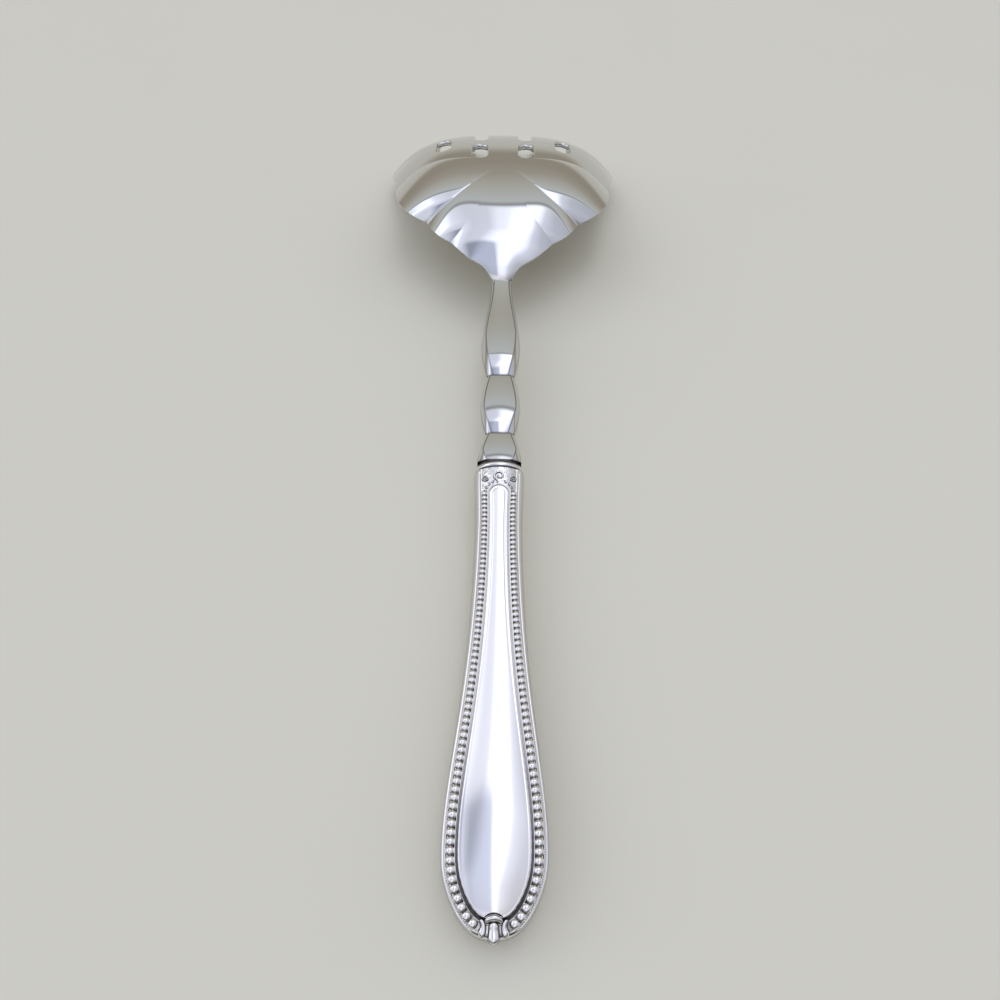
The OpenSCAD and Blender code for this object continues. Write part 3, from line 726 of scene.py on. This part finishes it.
def outline_table():
    a = np.radians(np.linspace(0, 90, 120))
    power = 2 / BUTT_POWER
    butt = coords(BUTT_LEN * (1 - np.cos(a) ** power), BELLY_W / 2 * np.sin(a) ** power)
    waist = (WAIST_SHARE * HANDLE_LEN, WAIST_W)
    taper = ease((BUTT_LEN, BELLY_W), waist, TAPER_PULL, 160)
    mouth = ease(waist, (HANDLE_LEN, MOUTH_W), MOUTH_PULL, 60)
    return np.concatenate([butt, taper[1:], mouth[1:]])


OUTLINE = outline_table()
# Borders of the handle's ornament: distance in from the outline, at the butt and at the mouth
WALL, BEAD_AT, GROOVE_AT = (0.38, 1.1), (1.88, 2.42), (3.1, 3.35)
BEAD_PITCH, MILL_PITCH, MILL_IN = (1.58, 1.1), (0.44, 0.4), 0.36
# Round the butt the edge lies further in, and so do the beads and the groove; and the groove is wider
BUTT_IN, BUTT_MORE, BUTT_FROM, BUTT_RUN, BUTT_GROOVE = 0.65, 0.45, 3.5, 9.0, 0.16
# Depths of the relief; the groove's at the butt and at the mouth
CHANNEL_DEPTH, GROOVE_DEPTH, MOAT_DEPTH, STEP_DEPTH = 0.32, (0.4, 0.22), 0.05, 0.12
RIDGE_HEIGHT, BAND_DEPTH, DOT_DEPTH, RIM_SHARE = 0.04, 0.1, 0.05, 0.66
# Tarnish in it, the groove's at the butt and past GROOVE_PALE from it; and painted shade on the wall, at the
# butt and the mouth
CHANNEL_SHADE, MOAT_SHADE, STEP_SHADE, BAND_SHADE, DOT_SHADE = 0.22, 0.15, 0.25, 0.1, 0.35
GROOVE_SHADE, GROOVE_PALE, WALL_PAINTED_SHADE = (0.95, 0.35), 45, (0.55, 0.35)
# Half width and softness of its lines, and how far inside the groove the ridge and the moat lie
LINE_HALF, LINE_SOFT, RIDGE_AT, MOAT_AT, MOAT_FROM, MOAT_RUN = 0.08, 0.22, 0.5, 0.95, 40, 40
STEP_HALF, STEP_SOFT, STEP_END, STEP_FADE = 0.15, 0.08, HANDLE_LEN - 1.3, 0.6
# The channel's half width as a share of the bead pitch, and its softness
CHANNEL_HALF, CHANNEL_SOFT = 0.45, 0.18
# The wall under the rim is close to a straight slope; 2 would round it like an ellipse
WALL_POWER = 1.3
# The panel's arch, and the band past it with a fine stipple, in angle per millimetre
ARCH_Y, STIPPLE = HANDLE_LEN - 7.3, 7.5
BAND_Y = ARCH_Y + 2.6
# Starts and lengths: of all relief past the butt, of the channel's end and the band past the arch, and of
# the band past the milled line
BUTT_CLEAR, CHANNEL_END, BAND_START, BAND_EDGE = (1.2, 2.0), (0.6, 1.2), (1.2, 0.8), (0.3, 0.15)
# The band's gap to the groove, the rim's most share of the half width, and the least half width inside it
BAND_GAP, RIM_MOST, INSIDE_LEAST = 0.2, 0.28, 0.05


def half_width(y):
    return np.interp(y, OUTLINE[:, 0], OUTLINE[:, 1])


def half_thick(y):
    return half_width(y) * mix(BELLY_RATIO, MOUTH_RATIO, y / HANDLE_LEN)


def lerp(pair, y):
    return mix(*pair, np.clip(y / HANDLE_LEN, 0, 1))


def at_butt(y):
    return 1 - fade(y, BUTT_FROM, BUTT_RUN)


def rim_in(y):
    return BUTT_IN * at_butt(y) + lerp(WALL, y)


def mill_at(y):
    return rim_in(y) + MILL_IN


def bead_at(y):
    return lerp(BEAD_AT, y) + BUTT_MORE * at_butt(y)


def groove_at(y):
    return lerp(GROOVE_AT, y) + BUTT_MORE * at_butt(y)


def dome(x, y):
    """Height of the plain top face of a shell."""
    edge = np.maximum(half_width(y) - np.minimum(rim_in(y), RIM_MOST * half_width(y)), INSIDE_LEAST)
    return half_thick(y) * (RIM_SHARE + (1 - RIM_SHARE) * (1 - np.minimum(np.abs(x) / edge, 1) ** 2))


def dent(d, centre, half, soft):
    """1 inside a band around centre, falling to 0 over soft."""
    return 1 - fade(np.abs(d - centre), half, soft)


def relief(x, y, d):
    """Height of the ornament over the dome and its patina; d is the distance in from the outline."""
    to_arch = np.hypot(x, np.maximum(y - ARCH_Y, 0))
    arch_r = half_width(np.minimum(y, ARCH_Y)) - groove_at(y)
    groove_d = np.where(y > ARCH_Y, arch_r - to_arch, d - groove_at(y))
    past_arch, past_butt = y - ARCH_Y, fade(y, *BUTT_CLEAR)
    before_arch = 1 - fade(past_arch, *CHANNEL_END)
    channel = dent(d, bead_at(y), CHANNEL_HALF * lerp(BEAD_PITCH, y), CHANNEL_SOFT) * before_arch
    step = dent(d, mill_at(y), STEP_HALF, STEP_SOFT) * (1 - fade(y, STEP_END, STEP_FADE))
    groove = dent(groove_d, 0, LINE_HALF + BUTT_GROOVE * at_butt(y), LINE_SOFT)
    ridge = dent(groove_d, RIDGE_AT, LINE_HALF, LINE_SOFT)
    moat = dent(groove_d, MOAT_AT, LINE_HALF, LINE_SOFT) * fade(y, MOAT_FROM, MOAT_RUN)
    band = fade(past_arch, *BAND_START) * fade(d - mill_at(y), *BAND_EDGE) * (groove_d < -BAND_GAP)
    wavy = np.sin(STIPPLE * x + 2 * np.sin(3 * y)) * np.sin(STIPPLE * y + 2 * np.sin(4 * x))
    dots = np.maximum(wavy, 0) * band
    height = (RIDGE_HEIGHT * ridge - CHANNEL_DEPTH * channel - lerp(GROOVE_DEPTH, y) * groove
              - MOAT_DEPTH * moat - STEP_DEPTH * step - BAND_DEPTH * band - DOT_DEPTH * dots)
    darkening = mix(*GROOVE_SHADE, smooth(y / GROOVE_PALE))
    shade = np.maximum.reduce([CHANNEL_SHADE * channel, darkening * groove, MOAT_SHADE * moat,
                               STEP_SHADE * step, BAND_SHADE * band + DOT_SHADE * dots])
    return height * past_butt, shade * past_butt


# Spacing of points along the outline, closer near the mouth, and how far the inward directions look
LINE_STEP, MOUTH_STEP, MOUTH_RUN, FINE_LINE, LOOK = 0.5, 0.24, 12, 0.05, 0.4


def handle_lines():
    """Points of the outline from the right of the mouth round the butt, with inward directions."""
    fine = resample(np.concatenate([OUTLINE[::-1, ::-1], OUTLINE[1:, ::-1] * [-1, 1]]), FINE_LINE)
    fine = fine[:np.argmin(np.hypot(fine[:, 0] + MOUTH_W / 2, fine[:, 1] - HANDLE_LEN)) + 1]
    run = run_along(fine)
    step = np.where(np.minimum(run, run[-1] - run) < MOUTH_RUN, MOUTH_STEP, LINE_STEP)
    density = np.concatenate([[0], np.cumsum(np.diff(run) / step[1:])])
    at = np.interp(np.linspace(0, density[-1], int(density[-1])), density, run)
    line, ahead, behind = [coords(*[np.interp(at + by, run, fine[:, i]) for i in (0, 1)])
                           for by in (0, LOOK, -LOOK)]
    d = unit(ahead - behind)
    return line, coords(d[:, 1], -d[:, 0])


LINE, INWARD = handle_lines()
# The shell's grid: steps up the wall, across the ornament and on to the middle, and where the ornament ends
WALL_STEPS, FACE_STEPS, PANEL_STEPS, FACE_IN = 12, 44, 15, 4.6
# The middle line starts this far from the butt, and follows the outline's points past this length
MIDDLE_IN, MIDDLE_RUN = 8.0, 20


def shell_grid():
    """Points of the upper shell's outside from the seam to its middle line, and their patina and painted
    shade.
    """
    y = LINE[:, 1]
    edge, rim_d = BUTT_IN * at_butt(y), rim_in(y)
    wall = 2 / WALL_POWER
    offsets = []
    for a in np.radians(np.linspace(0, 90, WALL_STEPS)):
        offsets.append((mix(rim_d, edge, max(math.cos(a), 0) ** wall), math.sin(a) ** wall))
    offsets += [(mix(rim_d, FACE_IN, k), 1.0) for k in np.linspace(0, 1, FACE_STEPS)[1:]]
    columns = []
    for d, lift in offsets:
        plan = LINE + INWARD * d[:, None]
        plan[:, 1] = np.minimum(plan[:, 1], HANDLE_LEN)
        columns.append((plan, d, lift))
    middle_y = np.minimum(y + MIDDLE_IN * (1 - smooth(y / MIDDLE_RUN)), HANDLE_LEN)
    last = columns[-1][0]
    for k in np.linspace(0, 1, PANEL_STEPS)[1:]:
        plan = coords(last[:, 0] * (1 - k), mix(last[:, 1], middle_y, k))
        columns.append((plan, FACE_IN + 3 * k + 0 * y, 1.0))
    inner = LINE + INWARD * rim_d[:, None]
    rim_top = dome(inner[:, 0], np.minimum(inner[:, 1], HANDLE_LEN))
    points, shades = [], []
    for plan, d, lift in columns:
        height, shade = relief(plan[:, 0], plan[:, 1], d)
        on_face = lift == 1.0
        z = dome(plan[:, 0], plan[:, 1]) + height if on_face else rim_top * lift
        points.append(coords(plan[:, 0], plan[:, 1], z))
        # The wall under the rim gets painted shade, darkest towards the seam
        shades.append(shade if on_face else lerp(WALL_PAINTED_SHADE, plan[:, 1]) * (1 - lift ** 4))
    return np.stack(points, 1), np.stack(shades, 1)


SHELL, SHELL_SHADE = shell_grid()


# The cavity: where it starts, how far it stays under the top, its least half width, and steps over it
CAVITY_FROM, CAVITY_UNDER, CAVITY_LEAST, CAVITY_STEPS = 4.0, 1.3, 0.2, 12


def shell(name, node, sign):
    """A stamped half of the handle: its outside, a plain inside, and the flat seam between."""
    outer = SHELL * [1, 1, sign]
    rows, cols = outer.shape[:2]
    normals = grid_normals(outer)
    normals *= np.sign(normals[rows // 4, cols // 2, 2]) * sign
    parts = Parts()
    parts.add_grid(outer, normals, SHELL_SHADE, flip=sign > 0)
    line = SHELL[:, 0, :2]
    y = np.clip(line[:, 1], CAVITY_FROM, HANDLE_LEN)
    wall_w = np.maximum(half_width(y) - SHELL_WALL, CAVITY_LEAST)
    share = np.clip(line[:, 0] / np.maximum(half_width(line[:, 1]), CAVITY_LEAST), -1, 1)
    inner = coords(share * wall_w, y, 0)
    seam = np.stack([coords(line[:, 0], line[:, 1], 0), inner], 1)
    parts.add_grid(seam, np.broadcast_to([0, 0, -sign], seam.shape), flip=sign < 0)
    tunnel = []
    for a in np.linspace(0, math.pi / 2, CAVITY_STEPS):
        height = (half_thick(y) - CAVITY_UNDER) * math.sin(a)
        tunnel.append(coords(inner[:, 0] * math.cos(a), y, sign * height))
    tunnel = np.stack(tunnel, 1)
    parts.add_grid(tunnel, -grid_normals(tunnel), flip=sign < 0)
    parts.piece(name, SILVER, "silver", node)


shell("handle_shell_upper", "handle_front_shell", 1)
shell("handle_shell_lower", "handle_back_shell", -1)


# Collar ring: distance along it, how far it stands out past half of COLLAR_W, and painted shade, light on its
# crown and dark on its slopes and ends
COLLAR_PROFILE = [(0, -0.55, 1), (0, -0.1, 0.9), (0.2, -0.08, 0.8), (0.32, -0.35, 1), (0.45, -0.38, 1),
                  (0.55, -0.12, 0.6), (0.75, 0, 0.1), (1.0, 0.06, 0), (1.25, 0.06, 0.05), (1.5, 0, 0.3),
                  (1.7, -0.12, 0.7), (1.78, -0.4, 1), (1.95, -0.55, 1), (2.2, -0.5, 0.9),
                  (2.45, -0.42, 0.85), (2.6, -0.6, 1), (2.6, -1.2, 1)]
COLLAR_STEPS = 96


def collar():
    a = np.linspace(0, 2 * np.pi, COLLAR_STEPS, endpoint=False)
    rows, shade = [], []
    # The profile's third column is painted shade
    for along, out, darkening in COLLAR_PROFILE:
        w = COLLAR_W / 2 + out
        rows.append(coords(w * np.cos(a), HANDLE_LEN + along, w * MOUTH_RATIO * np.sin(a)))
        shade += [darkening] * COLLAR_STEPS
    grid = np.array(rows)
    normals = grid_normals(grid, True)
    normals *= np.sign((normals * grid * [1, 0, 1]).sum())
    parts = Parts()
    parts.add_grid(grid, normals, shade, wrap=True, flip=True)
    parts.piece("collar_ring", SILVER, "silver", "handle_collar")


collar()


def ball(rings, steps):
    lat = np.linspace(np.pi / 2, -np.pi / 2, rings)[:, None]
    lon = np.linspace(0, 2 * np.pi, steps, endpoint=False)
    grid = coords(np.cos(lat) * np.cos(lon), np.cos(lat) * np.sin(lon), np.sin(lat))
    return grid.reshape(-1, 3), grid_faces(rings, steps, True, True)


# How far ahead the way of a border line is looked for
AHEAD = 0.2


def spread(place, first_y, last_y, pitch):
    """Places along the right side, place in from the outline, with their spacing and the way they run."""
    right = slice(len(LINE) // 2 - 1, None, -1)
    path = LINE[right] + INWARD[right] * place(LINE[right, 1])[:, None]
    run = run_along(path)
    at, end = np.interp([first_y, last_y], path[:, 1], run)
    places, sizes, ways = [], [], []
    while at < end:
        here, there = [np.array([np.interp(a, run, path[:, i]) for i in (0, 1)]) for a in (at, at + AHEAD)]
        gap = float(lerp(pitch, here[1]))
        places.append(here)
        sizes.append(gap)
        ways.append(unit(there - here))
        at += gap
    return np.array(places), np.array(sizes), np.array(ways)


def both_faces(parts, points, faces, normals, patina_and_shade, sides=(-1, 1)):
    """Adds a shape of the top face to both faces of the handle, and to both sides unless it is central."""
    for side in sides:
        for up in (-1, 1):
            turned = np.array([side, 1, up])
            parts.add(points * turned, faces, normals * turned, patina_and_shade)


# Beads: their flattening, and how far their middle is raised as a share of their radius
BEAD_FLAT, BEAD_RISE = 0.75, 0.3
# Painted shade on the beads' lower sides that face the butt: below this height of the ball, and from this far
# round towards the butt
PAINTED_SHADE_TOP, PAINTED_SHADE_FROM, PAINTED_SHADE_SOFT = 0.8, 0.45, 0.25


def beads(name, row, shape, sink, share, shade):
    """Rows of beads on both sides of both faces of the handle, with painted shade on their sides towards the
    butt in the pockets between them.
    """
    places, sizes, ways = row
    unit_points, unit_faces = shape
    count = len(unit_points)
    r = (share * sizes)[:, None, None]
    z = dome(places[:, 0], places[:, 1]) - sink + BEAD_RISE * r[:, 0, 0]
    centre = coords(places[:, 0], places[:, 1], z)[:, None]
    points = (centre + r * unit_points * [1, 1, BEAD_FLAT]).reshape(-1, 3)
    normals = np.tile(unit(unit_points / [1, 1, BEAD_FLAT]), (len(places), 1))
    faces = [[i + k * count for i in f] for k in range(len(places)) for f in unit_faces]
    towards_butt = -(unit_points[None, :, :2] * ways[:, None]).sum(2)
    # Painted shade on each bead's lower side towards the butt
    low = smooth((PAINTED_SHADE_TOP - unit_points[:, 2]) / PAINTED_SHADE_SOFT)
    painted_shade = shade * fade(towards_butt, PAINTED_SHADE_FROM, PAINTED_SHADE_SOFT) * low
    parts = Parts()
    both_faces(parts, points, faces, normals, painted_shade.ravel())
    parts.piece(name, SILVER, "silver")


BEAD_FIRST, BEAD_LAST, MILL_FIRST, MILL_LAST = 3.4, HANDLE_LEN - 6.6, 2.6, HANDLE_LEN - 1.6
beads("bead_border", spread(bead_at, BEAD_FIRST, BEAD_LAST, BEAD_PITCH), ball(9, 16),
      sink=CHANNEL_DEPTH, share=0.57, shade=0.95)
beads("milled_line", spread(mill_at, MILL_FIRST, MILL_LAST, MILL_PITCH), ball(6, 8),
      sink=0.14, share=0.42, shade=0.3)


def curve(points, steps):
    """Smooth line through plan points."""
    p = np.asarray(points, float)
    ends = np.concatenate([[2 * p[0] - p[1]], p, [2 * p[-1] - p[-2]]])
    line = []
    for i in range(len(p) - 1):
        a, b, c, d = ends[i:i + 4]
        for t in np.linspace(0, 1, steps, endpoint=i == len(p) - 2):
            line.append(0.5 * (2 * b + (c - a) * t + (2 * a - 5 * b + 4 * c - d) * t * t
                               + (3 * b - a - 3 * c + d) * t ** 3))
    return np.array(line)


def stroke(parts, path, width, height, foot_shade, foot=0.2, sides=(-1, 1)):
    """A raised line with a round back and round ends on the face of the handle, dark along its foot."""
    run = run_along(path)
    width = np.interp(run / run[-1], np.linspace(0, 1, len(width)), width)
    from_end = np.minimum(run, run[-1] - run) / (0.5 * width)
    width = width * np.sqrt(np.clip(1 - (1 - np.minimum(from_end, 1)) ** 2, 0.0004, 1))
    d = unit(np.gradient(path, axis=0))
    k = np.linspace(-1, 1, STROKE_STEPS)
    half = 0.5 * width[:, None]
    plan = path[:, None] + coords(-d[:, 1], d[:, 0])[:, None] * (half * k)[..., None]
    lift = height * np.minimum(width / width.max(), 1)[:, None] * np.sqrt(np.clip(1 - k * k, 0, 1))
    plan[..., 1] = np.clip(plan[..., 1], END_GAP, HANDLE_LEN - END_GAP)
    past = plan[..., 1] - LEVEL_FROM
    level_y = LEVEL_FROM + 0.5 * (past + np.hypot(past, LEVEL_ROUND))
    z = dome(plan[..., 0], level_y) - STROKE_SINK + lift
    grid = np.concatenate([plan, z[..., None]], -1)
    normals = grid_normals(grid)
    normals *= np.sign(normals[..., 2:3] + 1e-9)
    shade = foot_shade * (1 - fade(half * (1 - np.abs(k)), 0.5 * foot, 0.5 * foot))
    both_faces(parts, grid.reshape(-1, 3), grid_faces(*lift.shape), normals.reshape(-1, 3),
               shade.ravel(), sides)
    if path[:, 1].min() > LEVEL_FROM:
        return
    # A stroke that reaches the butt's edge gets a skirt down to the seam, dark all over with painted shade
    rim_line = np.concatenate([grid[:, 0], grid[::-1, -1]])
    skirt = np.stack([rim_line, rim_line * [1, 1, 0]], 1)
    out = unit(rim_line - np.concatenate([path, path[::-1]]) @ np.eye(2, 3) - rim_line * [0, 0, 1])
    both_faces(parts, skirt.reshape(-1, 3), grid_faces(len(rim_line), 2), np.repeat(out, 2, 0),
               np.full(2 * len(rim_line), foot_shade), sides)


# Points across a stroke, how deep its foot sinks, and its least distance from the handle's ends
STROKE_STEPS, STROKE_SINK, END_GAP = 13, 0.1, 0.02
# Strokes near the butt's edge stay about as high as they are this far from it
LEVEL_FROM, LEVEL_ROUND = 2.4, 0.5
# A stroke on the middle line is made on one side only
CENTRAL = (1,)


def butt_ornament():
    """Capped tab in the middle of the butt, between two volutes that end the bead rows."""
    parts = Parts()
    arch = [(-1.85, 4.0), (-1.1, 4.62), (0, 4.9), (1.1, 4.62), (1.85, 4.0)]
    tab = [(0, 3.6), (0, 2.4), (0, 1.2), (0, 0.2)]
    cap = [(-1.55, 3.5), (-0.85, 3.98), (0, 4.15), (0.85, 3.98), (1.55, 3.5)]
    volute = [(2.35, 4.0), (1.95, 3.3), (1.88, 2.6), (2.15, 1.9), (2.55, 1.45)]
    stroke(parts, curve(arch, 8), [0.32, 0.32], height=0.14, foot_shade=1.0, foot=0.32, sides=CENTRAL)
    stroke(parts, curve(tab, 12), [1.9, 1.95, 2.15, 2.3],
           height=0.8, foot_shade=0.75, foot=0.25, sides=CENTRAL)
    stroke(parts, curve(cap, 8), [0.8, 1.05, 1.15, 1.05, 0.8],
           height=0.62, foot_shade=0.7, foot=0.22, sides=CENTRAL)
    stroke(parts, curve(volute, 9), [0.6, 0.95, 1.15, 1.45, 1.5], height=0.62, foot_shade=0.8, foot=0.22)
    parts.piece("butt_tab", SILVER, "silver")


# Leaves round the panel's arch: their angles and their distance from its centre
LEAF_ANGLES, LEAF_AT = (66, 49, 32, 15), 3.3


def mouth_ornament():
    """Scrolls on the band between the panel's arch and the ring, the middle one on a stem."""
    parts = Parts()
    stem = curve([(-0.45, BAND_Y + 0.2), (-0.35, BAND_Y + 0.6), (-0.75, BAND_Y + 1.2)], 8)
    middle = arc((0.05, BAND_Y + 2.2), np.linspace(1.3, 0.3, 50), 215, -215, 50)
    side = arc((3.35, BAND_Y + 1.9), np.linspace(0.8, 0.2, 40), -160, 300, 40)
    stroke(parts, np.concatenate([stem, middle]), [0.35, 0.55, 0.5, 0.4],
           height=0.3, foot_shade=1.0, sides=CENTRAL)
    stroke(parts, side, [0.5, 0.4], height=0.28, foot_shade=1.0)
    for angle in LEAF_ANGLES:
        a = math.radians(angle)
        out = np.array([math.cos(a), math.sin(a)])
        along = np.array([out[1], -out[0]])
        root = np.array([0, ARCH_Y]) + LEAF_AT * out
        leaf = curve([root + 0.45 * along, root + 0.3 * out, root - 0.4 * along + 0.5 * out], 8)
        stroke(parts, leaf, [0.6, 0.5, 0.3], height=0.28, foot_shade=1.0, foot=0.18)
    parts.piece("mouth_scrolls", SILVER, "silver")


butt_ornament()
mouth_ornament()

frame["nodes"]["tang_cement"].data.materials.clear()
frame["nodes"]["tang_cement"].data.materials.append(FILLER)


# Table, light and camera
def table():
    size = 6.0
    mesh = bpy.data.meshes.new("table")
    corners = [(-size, -size, 0), (size, -size, 0), (size, size, 0), (-size, size, 0)]
    mesh.from_pydata(corners, [], [(0, 1, 2, 3)])
    mesh.materials.append(TABLE_TOP)
    top = bpy.data.objects.new("table", mesh)
    bpy.context.scene.collection.objects.link(top)


# Room round the table: elevation runs from the far horizon over the zenith to the near horizon
SKY = [(0.0, (0.60, 0.585, 0.53)), (0.03, (0.57, 0.555, 0.50)), (0.07, (0.37, 0.335, 0.275)),
       (0.115, (0.37, 0.335, 0.28)), (0.167, (0.435, 0.40, 0.345)), (0.217, (0.54, 0.535, 0.485)),
       (0.275, (0.62, 0.66, 0.67)), (0.283, (0.36, 0.36, 0.37)), (0.287, (0.36, 0.36, 0.37)),
       (0.294, (1.06, 1.11, 1.25)), (0.37, (1.11, 1.15, 1.36)), (0.56, (1.11, 1.15, 1.36)),
       (0.68, (1.04, 1.06, 1.21)), (0.80, (0.62, 0.62, 0.66)), (0.88, (0.12, 0.12, 0.12)),
       (1.0, (0.06, 0.06, 0.06))]
# Sideways the bright part has two lamps, one right of the middle and one on the left: share of the way
# from the left to the right, and brightness
LAMPS = [(0.0, 0.6), (0.07, 0.75), (0.146, 1.3), (0.206, 1.5), (0.265, 1.0), (0.371, 0.8), (0.465, 0.85),
         (0.526, 1.4), (0.629, 1.5), (0.679, 0.85), (0.75, 0.62), (0.854, 0.55), (1.0, 0.5)]
LAMPS_FROM = (0.285, 0.3)
# Towards the zenith the lamps drift to the left: elevation shares, and the drift
LAMP_DRIFT = (0.37, 0.6, 0.18)
# They also widen about the right lamp: elevation shares, how much the way across shrinks, and its middle
LAMP_WIDEN, LAMP_MIDDLE = (0.37, 0.45, 0.62), 0.58
# A grey ceiling panel left of the zenith: weight over the elevation, weight sideways, and its shade
PANEL_UP = [(0.42, 0.0), (0.44, 1.0), (0.7, 1.0), (0.77, 0.0)]
PANEL_SIDE = [(0.2, 0.0), (0.28, 1.0), (0.465, 1.0), (0.5, 0.0)]
PANEL_SHADE = (0.44, 0.46, 0.5)
# Plain pale colour that the camera sees past the table
BACKDROP = (0.6, 0.595, 0.55)


def world():
    """Light of the room: its colour over the elevation, lamps across it, and a panel on the ceiling."""
    room = bpy.data.worlds.new("room")
    bpy.context.scene.world = room
    room.use_nodes = True
    tree = room.node_tree
    way = add(tree, "ShaderNodeTexCoord", {})["Generated"]
    way = add(tree, "ShaderNodeSeparateXYZ", {"Vector": way})
    up = calc(tree, "DIVIDE", calc(tree, "ARCTAN2", way["Z"], way["Y"]), math.pi)
    across = calc(tree, "MULTIPLY_ADD", way["X"], 0.5, 0.5)
    start, end, most = LAMP_DRIFT
    drifted = calc(tree, "ADD", across, remap(tree, up, 0.0, most, start, end))
    start, end, least = LAMP_WIDEN
    narrow = remap(tree, up, 1.0, least, start, end)
    from_middle = calc(tree, "SUBTRACT", drifted, LAMP_MIDDLE)
    lamp_place = calc(tree, "MULTIPLY_ADD", from_middle, narrow, LAMP_MIDDLE)
    lit = remap(tree, up, 0.0, 1.0, *LAMPS_FROM)
    colour = blend(tree, lit, ramp_node(tree, up, SKY), ramp_node(tree, lamp_place, LAMPS), "MULTIPLY")
    panel = calc(tree, "MULTIPLY", ramp_node(tree, up, PANEL_UP), ramp_node(tree, across, PANEL_SIDE))
    colour = blend(tree, panel, colour, (*PANEL_SHADE, 1), "MULTIPLY")
    camera_ray = add(tree, "ShaderNodeLightPath", {})["Is Camera Ray"]
    feed(tree, tree.nodes["Background"], {"Color": blend(tree, camera_ray, colour, (*BACKDROP, 1))})


# The photograph's camera: focal length in pixels, pitch down, height over the table, and its
# distance behind the butt
FOCAL_PX, IMAGE_PX, PITCH, HEIGHT, BEHIND = 722.0, 1000.0, 55.5, 0.1527, 0.0071
ROLL, CENTRE_X_PX, SENSOR_MM = 0.69, 498.9, 36.0


def camera():
    data = bpy.data.cameras.new("camera")
    data.sensor_width = SENSOR_MM
    data.lens = SENSOR_MM * FOCAL_PX / IMAGE_PX
    data.shift_x = (IMAGE_PX / 2 - CENTRE_X_PX) / IMAGE_PX
    data.clip_start = 0.005
    eye = bpy.data.objects.new("camera", data)
    eye.location = (0, cad_box[0][1] - BEHIND, HEIGHT)
    down = Euler((math.radians(90 - PITCH), 0, 0)).to_matrix()
    eye.rotation_euler = (down @ Matrix.Rotation(math.radians(ROLL), 3, "Z")).to_euler()
    bpy.context.scene.collection.objects.link(eye)
    bpy.context.scene.camera = eye


table()
world()
camera()
bpy.context.scene.view_settings.view_transform = "Standard"
